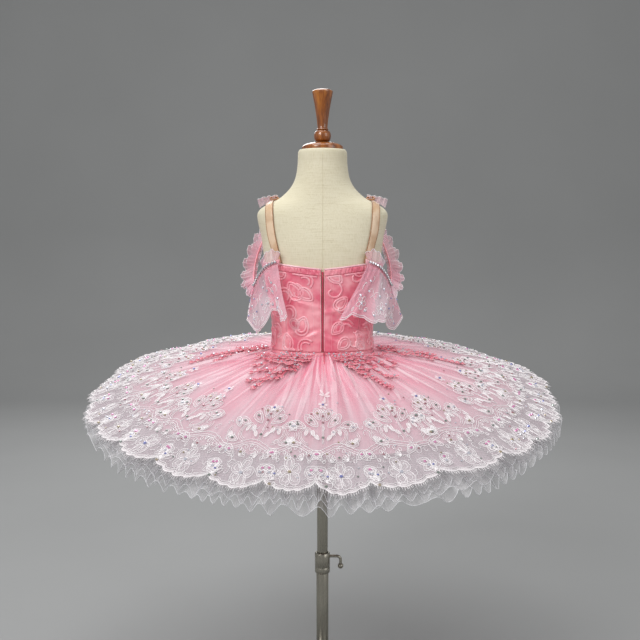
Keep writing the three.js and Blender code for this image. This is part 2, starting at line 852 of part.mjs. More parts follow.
function buildSleeve(name, side) {
  const group = new THREE.Group();
  addPiece(group, `strap_${name}`, shoulderStrap(side), finishes.elastic);
  addPiece(group, `shoulder_frill_${name}`, shoulderFrill(side), finishes.pinkTulle);
  addPiece(group, `arm_band_${name}`, armBand(side), finishes.pinkTulle);
  addPiece(group, `gem_chain_${name}`, gemChain(side), finishes.crystal);
  addPiece(group, `tulle_fan_${name}`, tulleFan(side), finishes.pinkTulle);
  addPiece(group, `arm_ruffle_${name}`, armRuffle(side), finishes.pinkTulle);
  addPiece(group, `lace_drape_${name}`, laceDrape(side, drapeHems[name]), finishes.lace);
  return group;
}

function buildSkirt() {
  const group = new THREE.Group();
  addPiece(group, 'overskirt_lace', overskirtLace(), finishes.lace);
  addPiece(group, 'underskirt_pink', pinkUnderskirt(), finishes.pinkTulle);
  netLayers.forEach((layer) => addPiece(group, layer.name, netLayer(layer), finishes.whiteTulle));
  addPiece(group, 'hip_basque', hipBasque(), finishes.satin);
  sprays.forEach((spray) => addPiece(group, spray.name, beadedSpray(spray), finishes.beading));
  return group;
}

const tutuOnForm = new THREE.Group();
tutuOnForm.add(buildStand(), buildForm(), buildBodice(), buildSleeve('left', -1), buildSleeve('right', 1));
tutuOnForm.add(buildSkirt());

export default tutuOnForm;
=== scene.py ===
from math import atan2, cos, degrees, hypot, pi, radians, sin

import bpy
import numpy as np
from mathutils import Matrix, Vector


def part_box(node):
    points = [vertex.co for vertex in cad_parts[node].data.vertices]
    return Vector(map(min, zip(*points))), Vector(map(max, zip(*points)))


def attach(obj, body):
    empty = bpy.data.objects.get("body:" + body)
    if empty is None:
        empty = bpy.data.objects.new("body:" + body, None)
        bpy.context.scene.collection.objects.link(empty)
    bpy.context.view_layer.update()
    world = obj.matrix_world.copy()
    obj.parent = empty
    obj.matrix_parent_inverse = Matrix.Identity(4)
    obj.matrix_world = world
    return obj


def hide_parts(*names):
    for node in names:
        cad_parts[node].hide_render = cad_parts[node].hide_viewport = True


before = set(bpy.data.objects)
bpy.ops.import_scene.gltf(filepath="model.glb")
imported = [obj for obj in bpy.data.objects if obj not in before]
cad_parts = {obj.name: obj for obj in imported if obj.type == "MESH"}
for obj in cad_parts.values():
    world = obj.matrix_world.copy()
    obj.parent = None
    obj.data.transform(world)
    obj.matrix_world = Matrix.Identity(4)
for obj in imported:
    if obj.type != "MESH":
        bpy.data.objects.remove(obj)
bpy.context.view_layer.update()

randoms = np.random.default_rng(7)

# All sizes below are millimetres, turned to metres when a mesh is made.
# Angles run from the centre back towards +X.
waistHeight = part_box("bodice_front")[0][2] * 1000 + 0.3
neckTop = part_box("form_torso")[1][2] * 1000


# Mesh helpers.

def makeObject(name, points, faces, material, smooth=True):
    mesh = bpy.data.meshes.new(name)
    mesh.from_pydata((np.asarray(points, float) / 1000).tolist(), [], faces)
    mesh.validate()
    mesh.update()
    if smooth:
        mesh.polygons.foreach_set("use_smooth", [True] * len(mesh.polygons))
    made = bpy.data.objects.new(name, mesh)
    bpy.context.scene.collection.objects.link(made)
    made.data.materials.append(material)
    return made


def gridFaces(columns, rows, ring, start=0, flip=False):
    count = columns if ring else columns + 1
    faces = []
    for row in range(rows):
        for column in range(columns):
            a = start + row * count + column
            b = start + row * count + (column + 1) % count
            quad = (a, b, b + count, a + count)
            faces.append(quad[::-1] if flip else quad)
    return faces


def gridValues(columns, rows, ring=False):
    u = np.arange(columns if ring else columns + 1) / columns
    v = np.arange(rows + 1) / rows
    uu, vv = np.meshgrid(u, v)
    return uu.ravel(), vv.ravel()


def sheetMesh(name, columns, rows, surface, material, ring=False):
    u, v = gridValues(columns, rows, ring)
    return makeObject(name, surface(u, v), gridFaces(columns, rows, ring), material)


# A wall with two faces and closed edges. The surface takes u, v and the outward distance.
def wallMesh(name, columns, rows, surface, near, far, material, ring=False):
    u, v = gridValues(columns, rows, ring)
    points = np.vstack([surface(u, v, far), surface(u, v, near)])
    count = columns if ring else columns + 1
    half = count * (rows + 1)
    faces = gridFaces(columns, rows, ring) + gridFaces(columns, rows, ring, half, True)
    for column in range(columns):
        after = (column + 1) % count
        top = rows * count
        faces.append((column, column + half, after + half, after))
        faces.append((top + column, top + after, top + after + half, top + column + half))
    if not ring:
        for row in range(rows):
            a = row * count
            b = a + columns
            faces.append((a, a + count, a + count + half, a + half))
            faces.append((b, b + half, b + count + half, b + count))
    return makeObject(name, points, faces, material)


def turnedMesh(name, profile, material, segments=64, centre=(0, 0)):
    rings = np.array(profile, float)
    turn = np.arange(segments) / segments * 2 * pi
    points = []
    for radius, height in rings:
        x = centre[0] + radius * np.cos(turn)
        y = centre[1] + radius * np.sin(turn)
        points.append(np.column_stack([x, y, np.full(segments, height)]))
    faces = gridFaces(segments, len(rings) - 1, True)
    if rings[0][0] > 0 and not np.allclose(rings[0], rings[-1]):
        faces.append(tuple(range(segments))[::-1])
        last = (len(rings) - 1) * segments
        faces.append(tuple(last + i for i in range(segments)))
    made = makeObject(name, np.vstack(points), faces, material)
    sharpEdges(made)
    return made


def sharpEdges(made, angle=40):
    made.data.set_sharp_from_angle(angle=radians(angle))


# Round cords along many paths, joined in one mesh.
def cordMesh(name, paths, radius, material, sides=4, up=(0, 0, 1), closed=False, taper=False):
    points, faces, start = [], [], 0
    turn = np.arange(sides) / sides * 2 * pi
    for number, path in enumerate(paths):
        path = np.asarray(path, float)
        count = len(path)
        ahead = np.roll(path, -1, 0) - np.roll(path, 1, 0)
        if not closed:
            ahead[0] = path[1] - path[0]
            ahead[-1] = path[-1] - path[-2]
        ahead /= np.linalg.norm(ahead, axis=1)[:, None] + 1e-9
        upward = np.asarray(up[number] if isinstance(up, list) else up, float)
        side = np.cross(ahead, upward)
        side /= np.linalg.norm(side, axis=1)[:, None] + 1e-9
        lift = np.cross(side, ahead)
        size = np.full(count, float(radius))
        if taper:
            size *= np.linspace(1, 0.25, count)
        for row in range(count):
            ring = np.cos(turn)[:, None] * side[row] + np.sin(turn)[:, None] * lift[row]
            points.append(path[row] + ring * size[row])
        rows = count if closed else count - 1
        for row in range(rows):
            after = (row + 1) % count
            for column in range(sides):
                a = start + row * sides + column
                b = start + row * sides + (column + 1) % sides
                c = start + after * sides
                faces.append((a, b, c + (column + 1) % sides, c + column))
        if not closed:
            faces.append(tuple(start + i for i in range(sides))[::-1])
            faces.append(tuple(start + (count - 1) * sides + i for i in range(sides)))
        start += count * sides
    return makeObject(name, np.vstack(points), faces, material)


# Flat filled outlines, such as satin-stitched petals, each a little raised in its middle.
def fillMesh(name, outlines, material, lifts=None):
    points, faces, start = [], [], 0
    for number, outline in enumerate(outlines):
        outline = np.asarray(outline, float)
        count = len(outline)
        lift = lifts[number] if lifts is not None else (0, 0, 0.3)
        points.append(np.vstack([outline, outline.mean(0) + lift]))
        faces += [(start + i, start + (i + 1) % count, start + count) for i in range(count)]
        start += count + 1
    return makeObject(name, np.vstack(points), faces, material)


# Cut stones: an eight-sided crown on a short foot, each with its place, facing and radius.
def gemMesh(name, places, facings, sizes, material):
    turn = np.arange(8) / 8 * 2 * pi
    points, faces, start = [], [], 0
    for place, facing, size in zip(places, facings, sizes):
        facing = np.asarray(facing, float) / np.linalg.norm(facing)
        across = np.cross(facing, (0.31, 0.95, 0.11))
        across /= np.linalg.norm(across)
        along = np.cross(facing, across)
        circle = np.cos(turn)[:, None] * across + np.sin(turn)[:, None] * along
        levels = ((0.75, 0), (1, 0.35), (0.55, 0.85))
        for share, height in levels:
            points.append(np.asarray(place) + circle * size * share + facing * size * height)
        for level in (0, 8):
            for i in range(8):
                a, b = start + level + i, start + level + (i + 1) % 8
                faces.append((a, b, b + 8, a + 8))
        faces.append(tuple(start + 16 + i for i in range(8)))
        faces.append(tuple(start + i for i in range(8))[::-1])
        start += 24
    return makeObject(name, np.vstack(points), faces, material, smooth=False)


def tableCurve(rows, at):
    rows = np.asarray(rows, float)
    keys = rows[:, 0]
    slopes = np.empty_like(rows[:, 1:])
    slopes[1:-1] = (rows[2:, 1:] - rows[:-2, 1:]) / (keys[2:] - keys[:-2])[:, None]
    slopes[0] = (rows[1, 1:] - rows[0, 1:]) / (keys[1] - keys[0])
    slopes[-1] = (rows[-1, 1:] - rows[-2, 1:]) / (keys[-1] - keys[-2])
    at = np.clip(np.atleast_1d(np.asarray(at, float)), keys[0], keys[-1])
    low = np.clip(np.searchsorted(keys, at, "right") - 1, 0, len(keys) - 2)
    step = (keys[low + 1] - keys[low])[:, None]
    s = (at[:, None] - keys[low][:, None]) / step
    before, after = rows[low, 1:], rows[low + 1, 1:]
    bend = s * (1 - s) * ((1 - s) * slopes[low] - s * slopes[low + 1]) * step
    return before + (after - before) * s * s * (3 - 2 * s) + bend


def routeCurve(rows, u):
    keys = np.linspace(0, 1, len(rows))
    return tableCurve(np.column_stack([keys, rows]), u)


# Materials.

# Wraps a socket, so that sums on values add Math nodes.
class Wire:
    def __init__(self, tree, socket):
        self.tree = tree
        self.socket = socket

    def node(self, kind, settings, inputs, output=0):
        made = self.tree.nodes.new(kind)
        for key, value in settings.items():
            if key == "stops":
                elements = made.color_ramp.elements
                while len(elements) < len(value):
                    elements.new(0.5)
                for element, (position, tint) in zip(elements, value):
                    element.position = position
                    element.color = tint
            else:
                setattr(made, key, value)
        for key, value in inputs.items():
            if isinstance(value, Wire):
                self.tree.links.new(value.socket, made.inputs[key])
            else:
                made.inputs[key].default_value = value
        return Wire(self.tree, made.outputs[output])

    def math(self, operation, *values):
        inputs = dict(enumerate((self,) + values))
        return self.node("ShaderNodeMath", {"operation": operation}, inputs)

    def __add__(self, other):
        return self.math("ADD", other)

    def __radd__(self, other):
        return self.math("ADD", other)

    def __mul__(self, other):
        return self.math("MULTIPLY", other)

    def __rmul__(self, other):
        return self.math("MULTIPLY", other)

    def __sub__(self, other):
        return self.math("SUBTRACT", other)

    def __rsub__(self, other):
        inputs = {0: other, 1: self}
        return self.node("ShaderNodeMath", {"operation": "SUBTRACT"}, inputs)

    def __truediv__(self, other):
        return self.math("DIVIDE", other)

    def __pow__(self, other):
        return self.math("POWER", other)


def newMaterial(name):
    material = bpy.data.materials.new(name)
    material.use_nodes = True
    tree = material.node_tree
    tree.nodes.clear()
    coordinates = tree.nodes.new("ShaderNodeTexCoord")
    return material, Wire(tree, coordinates.outputs["Object"])


def finishMaterial(material, place, inputs, bump=None, bumpDistance=0.0004, bumpStrength=0.5):
    if bump is not None:
        raised = {"Height": bump, "Distance": bumpDistance, "Strength": bumpStrength}
        inputs = {**inputs, "Normal": place.node("ShaderNodeBump", {}, raised)}
    shader = place.node("ShaderNodeBsdfPrincipled", {}, inputs)
    output = place.tree.nodes.new("ShaderNodeOutputMaterial")
    place.tree.links.new(shader.socket, output.inputs["Surface"])
    return material


def mixColors(factor, first, second):
    return factor.node("ShaderNodeMix", {"data_type": "RGBA"}, {0: factor, 6: first, 7: second}, 2)


def stretched(place, scale):
    inputs = {0: place, 1: scale}
    return place.node("ShaderNodeVectorMath", {"operation": "MULTIPLY"}, inputs)


def noise(place, scale, detail=4, roughness=0.6):
    inputs = {"Vector": place, "Scale": scale, "Detail": detail, "Roughness": roughness}
    return place.node("ShaderNodeTexNoise", {}, inputs)


def hexNet(place, scale):
    inputs = {"Vector": place, "Scale": scale, "Randomness": 0.25}
    settings = {"feature": "DISTANCE_TO_EDGE"}
    return place.node("ShaderNodeTexVoronoi", settings, inputs)


def wave(place, scale, direction):
    settings = {"bands_direction": direction}
    return place.node("ShaderNodeTexWave", settings, {"Vector": place, "Scale": scale})


# The turn round the stand's axis and the distance from it, for what radiates from the waist.
def aroundAxis(place):
    split = place.node("ShaderNodeSeparateXYZ", {}, {0: place}, 0)
    parts = split.socket.node.outputs
    x, y = Wire(place.tree, parts[0]), Wire(place.tree, parts[1])
    turn = x.math("ARCTAN2", y)
    return turn, (x * x + y * y) ** 0.5


def ramp(value, *stops):
    return value.node("ShaderNodeValToRGB", {"stops": stops}, {0: value})


def color(red, green, blue):
    def linear(value):
        value /= 255
        return value / 12.92 if value <= 0.04045 else ((value + 0.055) / 1.055) ** 2.4
    return (linear(red), linear(green), linear(blue), 1)


def satinMaterial(name, light, deep, roughness=0.36):
    material, place = newMaterial(name)
    # Soft patches between the deep and light colours are painted sheen and shade on the satin.
    paintedSheenCloud = noise(place, 26, 3)
    base = ramp(paintedSheenCloud, (0.38, color(*deep)), (0.62, color(*light)))
    threads = wave(place, 950, "Z") * 0.3 + noise(stretched(place, (300, 300, 2600)), 1, 2) * 0.7
    inputs = {"Base Color": base, "Roughness": roughness, "Sheen Weight": 0.3, "Sheen Roughness": 0.4}
    inputs.update({"Coat Weight": 0.45, "Coat Roughness": 0.24})
    return finishMaterial(material, place, inputs, threads, 0.0002, 0.25)


def tulleMaterial(name, light, deep, alpha, paintedShadeStreaks=0.0, outer=None, fade=1.0):
    material, place = newMaterial(name)
    net = hexNet(place, 620)
    thread = net.math("LESS_THAN", 0.16)
    turn, reach = aroundAxis(place)
    folds = place.node("ShaderNodeCombineXYZ", {}, {0: turn * 22, 1: reach * 4})
    # Lighter and darker streaks running out along the folds are painted light and shade; the same noise
    # gives the folds' bump.
    foldBumpsAndPaintedShade = noise(folds, 1.5, 4, 0.62)
    tone = foldBumpsAndPaintedShade * paintedShadeStreaks + noise(place, 14, 2) * (1 - paintedShadeStreaks)
    middle = [(a + b) / 2 for a, b in zip(light, deep)]
    base = ramp(tone, (0.4, color(*deep)), (0.5, color(*middle)), (0.6, color(*light)))
    seen = thread * 0.14 + (alpha - 0.05) + (tone - 0.5) * 0.3
    if outer is not None:
        limits = {1: 0.1, 2: 0.36}
        outwards = place.node("ShaderNodeMapRange", {"clamp": True}, {0: reach, **limits})
        base = mixColors(outwards, base, color(*outer))
        seen = seen * (1 + outwards * (fade - 1))
    inputs = {"Base Color": base, "Roughness": 0.75, "Alpha": seen, "Sheen Weight": 0.3}
    return finishMaterial(material, place, inputs, foldBumpsAndPaintedShade, 0.0006, 0.2)


def threadMaterial(name, light, deep):
    material, place = newMaterial(name)
    twist = wave(place, 420, "DIAGONAL")
    base = mixColors(noise(place, 90, 3), color(*deep), color(*light))
    inputs = {"Base Color": base, "Roughness": 0.42, "Sheen Weight": 0.4}
    return finishMaterial(material, place, inputs, twist, 0.0003, 0.5)


def stitchFillMaterial(name, tint, alpha):
    material, place = newMaterial(name)
    rows = wave(place, 500, "DIAGONAL")
    inputs = {"Base Color": color(*tint), "Roughness": 0.5, "Alpha": rows * 0.25 + alpha}
    return finishMaterial(material, place, inputs, rows, 0.0002, 0.5)


def linenMaterial():
    material, place = newMaterial("slubLinen")
    warp = noise(stretched(place, (1100, 1100, 40)), 1, 3, 0.7)
    weft = noise(stretched(place, (34, 34, 1300)), 1, 3, 0.7)
    slubs = noise(stretched(place, (24, 24, 420)), 1, 2)
    stain = noise(place, 9, 3)
    crossed = warp * 0.5 + weft * 0.5
    stops = [(0.3, color(198, 187, 150)), (0.5, color(234, 227, 202)), (0.7, color(246, 241, 221))]
    woven = ramp(crossed, *stops)
    darker = slubs.math("GREATER_THAN", 0.7) * 0.3
    flecked = mixColors(darker, woven, color(182, 166, 128))
    base = mixColors(stain * 0.7, flecked, color(208, 198, 166))
    inputs = {"Base Color": base, "Roughness": 0.8, "Sheen Weight": 0.15}
    return finishMaterial(material, place, inputs, crossed, 0.0004, 0.35)


def woodMaterial():
    material, place = newMaterial("turnedWood")
    grain = noise(stretched(place, (90, 90, 9)), 1, 5, 0.6)
    fine = noise(stretched(place, (700, 700, 40)), 1, 2)
    tone = grain * 0.8 + fine * 0.2
    base = ramp(tone, (0.36, color(84, 38, 8)), (0.5, color(146, 80, 24)), (0.66, color(184, 114, 44)))
    inputs = {"Base Color": base, "Roughness": 0.3, "Coat Weight": 0.8, "Coat Roughness": 0.08}
    return finishMaterial(material, place, inputs, tone, 0.0002, 0.25)


def steelMaterial(name, tint, rough):
    material, place = newMaterial(name)
    smear = noise(stretched(place, (500, 500, 20)), 1, 3)
    base = mixColors(smear, color(*tint), color(*[min(255, part + 26) for part in tint]))
    inputs = {"Base Color": base, "Metallic": 1.0, "Roughness": smear * 0.14 + rough}
    return finishMaterial(material, place, inputs, smear, 0.0001, 0.15)


def stoneMaterial(name, tint):
    material, place = newMaterial(name)
    # Near-white flecks mixed into the stone's colour are painted glints; the same noise varies its
    # roughness and bump.
    paintedGlintAndRoughness = noise(place, 380, 2)
    base = mixColors(paintedGlintAndRoughness * 0.5, color(*tint), color(250, 248, 252))
    inputs = {"Base Color": base, "Roughness": paintedGlintAndRoughness * 0.1 + 0.03, "Metallic": 0.45}
    inputs.update({"Coat Weight": 1.0, "Coat Roughness": 0.02})
    return finishMaterial(material, place, inputs, paintedGlintAndRoughness, 0.0001, 0.1)


def studioMaterial():
    material, place = newMaterial("studioPaper")
    cloud = noise(place, 1.5, 2)
    base = mixColors(cloud, color(155, 156, 156), color(163, 164, 164))
    inputs = {"Base Color": base, "Roughness": 0.9}
    return finishMaterial(material, place, inputs, noise(place, 400), 0.0002, 0.1)


satin = satinMaterial("roseSatin", (255, 176, 186), (236, 112, 136))
# A lighter copy of the rose satin: on the bodice's raised cords, seam ridges and zip fold the extra
# lightness is painted highlight; elsewhere it is a pale pink satin.
paleSatinAndPaintedHighlight = satinMaterial("paleSatinAndPaintedHighlight", (255, 200, 208), (252, 160, 176), 0.3)
pipingSatin = satinMaterial("palePiping", (254, 214, 220), (244, 184, 196))
elastic = satinMaterial("beigeElastic", (240, 212, 180), (214, 176, 138), 0.28)
# Darker brown for the strap's rims and loop: partly the elastic's own side, partly painted shade.
elasticSideAndShade = satinMaterial("elasticSideAndShade", (176, 122, 76), (150, 96, 58))
zipTape = satinMaterial("zipCrimson", (214, 58, 92), (168, 32, 64), 0.6)
pinkTulle = tulleMaterial("pinkTulle", (255, 222, 230), (242, 122, 150), 0.93, 0.95,
                          (250, 222, 230), 0.5)
# Pale tulle, lighter than the pink tulle it lies on: painted highlight along the gathers.
paintedGatherHighlight = tulleMaterial("paintedGatherHighlight", (255, 236, 241), (255, 220, 230), 0.34)
drapeTulle = tulleMaterial("drapeTulle", (252, 214, 226), (244, 184, 202), 0.5)
ruffleTulle = tulleMaterial("ruffleTulle", (253, 222, 232), (246, 188, 206), 0.46)
whiteTulle = tulleMaterial("whiteTulle", (244, 241, 243), (190, 186, 190), 0.22, 0.8)
laceNet = tulleMaterial("laceNet", (250, 208, 220), (236, 160, 184), 0.18, 0.6,
                        (206, 190, 197), 2.3)
laceThread = threadMaterial("laceThread", (255, 253, 253), (240, 232, 236))
hemThread = threadMaterial("hemThread", (250, 250, 252), (232, 232, 238))
laceFill = stitchFillMaterial("laceFill", (252, 246, 248), 0.45)
laceGauze = stitchFillMaterial("laceGauze", (240, 230, 234), 0.12)
roseBeads = threadMaterial("roseBeads", (248, 136, 156), (216, 84, 112))
roseLeaf = satinMaterial("roseLeaf", (252, 158, 174), (222, 92, 118), 0.3)
linen = linenMaterial()
wood = woodMaterial()
steel = steelMaterial("nickelTube", (150, 146, 134), 0.2)
cupSteel = steelMaterial("stoneCups", (70, 70, 74), 0.3)
baseSteel = steelMaterial("brushedBase", (150, 149, 146), 0.32)
stones = {
    "clear": stoneMaterial("clearStone", (205, 208, 222)),
    "rose": stoneMaterial("roseStone", (160, 30, 66)),
    "pink": stoneMaterial("pinkStone", (238, 110, 190)),
    "blue": stoneMaterial("blueStone", (64, 84, 190)),
    "green": stoneMaterial("greenStone", (62, 92, 70)),
    "gold": stoneMaterial("goldStone", (150, 124, 50)),
}
smokeStone = stoneMaterial("smokeStone", (176, 176, 182))
print("materials ready")


def fit(piece, body, slot, *nodes):
    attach(piece, body)
    if nodes:
        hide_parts(*nodes)
    return piece


# The garment and the form all ride the figure.
def sew(piece, slot, *nodes):
    return fit(piece, "figure", slot, *nodes)


# Dress form and stand.

# height, half width, half depth, forward, squareness
formSections = [
    (455, 64, 54, 0, 2), (461, 84, 72, 0, 2.05), (478, 101, 85, 0, 2.1), (515, 107, 89, 0, 2.15),
    (565, 99, 82, 0, 2.15), (600, 90.5, 76, 0, 2.15), (620, 87.6, 74, 0, 2.15), (650, 85.5, 73, 0, 2.15),
    (690, 89, 74, 1, 2.2), (740, 97, 76, 2, 2.25), (780, 103, 75, 2, 2.35), (815, 107.5, 68, 0, 2.4),
    (838, 112.5, 60, -3, 2.35), (853, 114, 54, -5, 2.3), (862, 109, 50.5, -6, 2.2),
    (870, 97, 48.5, -6, 2.1), (880, 77, 46.5, -6, 2), (892, 62.5, 45, -5, 2), (904, 53, 44, -4, 2),
    (918, 47, 43, -3, 2), (940, 43.6, 42, -1, 2), (961, 42.6, 41.5, 0, 2), (965, 40.5, 39.5, 0, 2),
]
form = {
    "columns": 96, "foot": 455, "turnIn": 480, "chest": 850, "neck": 962, "top": 965, "seamTop": 958,
}


def bodyPoint(height, angle, outwards=0):
    height, angle, outwards = np.broadcast_arrays(height, angle, outwards)
    values = tableCurve(formSections, height.ravel())
    power = 2 / values[:, 3]
    side, front = np.sin(angle.ravel()), -np.cos(angle.ravel())
    away = outwards.ravel()
    x = (values[:, 0] + away) * np.sign(side) * np.abs(side) ** power
    y = (values[:, 1] + away) * np.sign(front) * np.abs(front) ** power + values[:, 2]
    return np.column_stack([x, y, height.ravel()])


def buildForm():
    low = np.linspace(form["foot"], form["turnIn"], 8)
    middle = np.linspace(form["turnIn"], form["chest"], 54)
    high = np.linspace(form["chest"], form["neck"], 44)
    rolled = [form["neck"], form["top"] - 1.4, form["top"]]
    heights = np.concatenate([low[:-1], middle[:-1], high[:-1], rolled])
    columns = form["columns"]
    turn = np.arange(columns) / columns * 2 * pi
    rings = [bodyPoint(height, turn) for height in heights]
    rings.append(rings[-1] * (0.3, 0.3, 1))
    rings.insert(0, rings[0] * (0.3, 0.3, 1))
    faces = gridFaces(columns, len(rings) - 1, True)
    last = (len(rings) - 1) * columns
    faces += [tuple(range(columns))[::-1], tuple(last + i for i in range(columns))]
    torso = makeObject("dressForm", np.vstack(rings), faces, linen)
    sew(torso, "linen", "form_torso")
    seams = []
    for angle, end in ((0, 762), (pi, 780)):
        seams.append(bodyPoint(np.linspace(form["seamTop"], end, 60), angle, 0.15))
    seam = cordMesh("formSeams", seams, 0.35, linen, 5, [(0, -1, 0), (0, 1, 0)])
    sew(seam, "linen")


stand = {
    "cap": 36, "capEdge": 4, "capRise": 10,
    "ball": 8.6, "ballSwell": 6.2, "ballHalf": 9.5, "knobTop": 18.3,
    "tube": 9.8, "tubeBore": 8.6, "sleeve": 11, "sleeveBore": 10.05, "socket": 11.4, "collar": 13.7,
    "hub": 24, "hubRise": 30, "plate": 140, "plateRise": 8,
}


# The lowest and highest point of a CAD node.
def span(node):
    low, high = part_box(node)
    return low[2] * 1000, high[2] * 1000


def buildStand():
    cap, rim = stand["cap"], neckTop + 0.3 + stand["capEdge"]
    profile = [(0.01, rim - 4), (cap - 1, rim - 4), (cap, rim - 3), (cap, rim)]
    profile += [(cap * cos(a), rim + stand["capRise"] * sin(a)) for a in np.linspace(0.12, 1.5, 12)]
    profile.append((0.01, rim + stand["capRise"]))
    sew(turnedMesh("neckCap", profile, wood), "turned_wood", "neck_cap")
    low, high = span("finial")
    ball, swell, half, top = stand["ball"], stand["ballSwell"], stand["ballHalf"], stand["knobTop"]
    profile = [(0.01, low), (ball, low)]
    for a in np.linspace(0.15, pi - 0.15, 14):
        profile.append((ball + swell * sin(a) ** 0.8, low + half - half * cos(a)))
    profile += [(8.7, low + 19), (10.2, low + 20), (10.4, low + 21.2), (9.2, low + 22.6), (8.7, low + 24)]
    profile += [(8.8 + 9.3 * s ** 1.35, low + 24 + (high - low - 30) * s) for s in np.linspace(0.1, 1, 16)]
    profile += [(top * cos(a), high - 5 + 5 * sin(a)) for a in np.linspace(0.1, 1.5, 8)]
    profile.append((0.01, high))
    sew(turnedMesh("finialKnob", profile, wood), "turned_wood", "finial")
    tubes = (("innerTube", "inner_tube", "mast", stand["tube"], stand["tubeBore"]),
             ("outerTube", "outer_tube", "stand", stand["sleeve"], stand["sleeveBore"]))
    for name, node, body, radius, bore in tubes:
        low, high = span(node)
        profile = [(bore, low), (radius - 0.3, low), (radius, low + 0.4), (radius, high - 0.4),
                   (radius - 0.3, high), (bore, high), (bore, low)]
        fit(turnedMesh(name, profile, steel, 48), body, "tube_steel", node)
    low, high = span("clamp_collar")
    socket, collar = stand["socket"], stand["collar"]
    ring = [(socket, low), (12.4, low), (collar, low + 1.6), (collar, low + 10), (collar - 0.5, low + 10.6),
            (collar - 0.5, low + 11.4), (collar, low + 12), (collar, high - 1.6), (12.4, high),
            (10.3, high), (10.3, high - 4), (socket, low)]
    fit(turnedMesh("clampCollar", ring, steel, 48), "stand", "tube_steel", "clamp_collar")
    low, high = span("base_hub")
    foot, rise = stand["hub"], low + stand["hubRise"]
    hub = [(socket, low), (foot, low), (foot, low + 4)]
    hub += [(16 + 8 * (1 - sin(a)), low + 4 + 5 * (1 - cos(a))) for a in np.linspace(0.1, pi / 2, 7)]
    hub += [(15, rise - 3), (13.4, rise), (socket, rise), (socket, low)]
    fit(turnedMesh("baseHub", hub, steel, 48), "stand", "tube_steel", "base_hub")
    edge, top = stand["plate"], stand["plateRise"]
    plate = [(0.01, 0), (edge - 1.5, 0), (edge, 1.5), (edge, top - 3)]
    plate += [(edge - 3 + 3 * cos(a), top - 3 + 3 * sin(a)) for a in np.linspace(0.2, pi / 2, 6)]
    plate += [(120, top), (60, top), (0.01, top)]
    fit(turnedMesh("basePlate", plate, baseSteel, 128), "stand", "base_steel", "base_plate")
    buildHandle()


handle = {"height": 237, "start": 10.6, "reach": 33, "bend": 7, "drop": 18, "rod": 2.6, "knob": 5.2}


def buildHandle():
    height, reach, bend = handle["height"], handle["reach"], handle["bend"]
    end, ball = height - handle["drop"], handle["knob"]
    path = [(handle["start"], 0, height), (14, 0, height), (reach - bend, 0, height)]
    for a in np.linspace(0.2, pi / 2, 7):
        path.append((reach - bend + bend * sin(a), 0, height - bend + bend * cos(a)))
    path += [(reach, 0, end + 4), (reach, 0, end)]
    rod = cordMesh("handleRod", [path], handle["rod"], steel, 16, (0, 1, 0))
    knob = [(ball * cos(a), end + ball * sin(a)) for a in np.linspace(-1.4, 1.4, 14)]
    knob = [(0.01, end - ball), *knob, (0.01, end + ball)]
    fit(rod, "clamp_handle", "tube_steel", "clamp_handle")
    fit(turnedMesh("handleKnob", knob, steel, 32, (reach, 0)), "clamp_handle", "tube_steel")


# Bodice.

bodice = {
    "near": 0.8, "far": 2.8, "zipHalf": 1.3, "seam": 0.2, "casing": 9, "rows": 60, "creaseDepth": 2.0,
    "figureAcross": 26, "figureUp": 29, "cord": 1.75, "padLift": 2.8, "pucker": 0.95, "piping": 1.5,
    "stitch": 0.3, "zipTop": 755, "zipCord": 1.25, "fold": 0.75, "coil": 0.3,
    "flatRadius": 0.092, "flatHeight": 0.152,
}
panelTable = [
    ("backRight", "bodice_back_right", 0, 43), ("sideBackRight", "bodice_side_back_right", 43, 92),
    ("sideFrontRight", "bodice_side_front_right", 92, 139), ("frontPanel", "bodice_front", 139, 221),
    ("sideFrontLeft", "bodice_side_front_left", 221, 268),
    ("sideBackLeft", "bodice_side_back_left", 268, 317),
    ("backLeft", "bodice_back_left", 317, 360),
]
# angle, height, rise of the crease along it, half length, depth
bodiceCreases = [
    (14, 690, 0.25, 26, 1.3), (26, 664, -0.4, 22, 1.1), (-16, 700, -0.3, 24, 1.3), (-30, 652, 0.3, 26, 1.2),
    (50, 646, 0.15, 30, 1.2), (-58, 642, -0.2, 28, 1.1), (8, 640, -0.5, 18, 0.9), (-9, 648, 0.5, 16, 0.9),
    (100, 650, 0.2, 28, 1.1), (-104, 655, -0.2, 26, 1.0),
    (150, 648, 0.25, 24, 1.0), (-148, 660, -0.3, 26, 1.1),
    (172, 700, 0.1, 22, 0.8), (62, 728, -0.5, 20, 1.0), (-66, 734, 0.4, 20, 0.9), (128, 720, 0.4, 22, 0.8),
]


def necklineHeight(angle):
    turned = np.abs((np.degrees(angle) + 540) % 360 - 180)
    rows = [(0, 757), (45, 766), (90, 769), (135, 782), (180, 778)]
    return tableCurve(rows, turned)[:, 0]


def bodiceCrease(angle, height):
    total = np.zeros_like(angle)
    for at, level, rise, half, depth in bodiceCreases:
        across = ((np.degrees(angle) - at + 540) % 360 - 180) * 1.5
        off = height - level - rise * across
        ridge = np.exp(-(off / 4) ** 2) - 0.6 * np.exp(-((off - 7) / 5) ** 2)
        total += bodice["creaseDepth"] * depth * np.exp(-(across / half) ** 2) * ridge
    return total


def bodiceSkin(angle, height, away):
    angle, height = np.atleast_1d(angle), np.atleast_1d(height)
    soft = bodiceCrease(angle, height) if away > 1 else 0
    return bodyPoint(height, angle, away + soft)


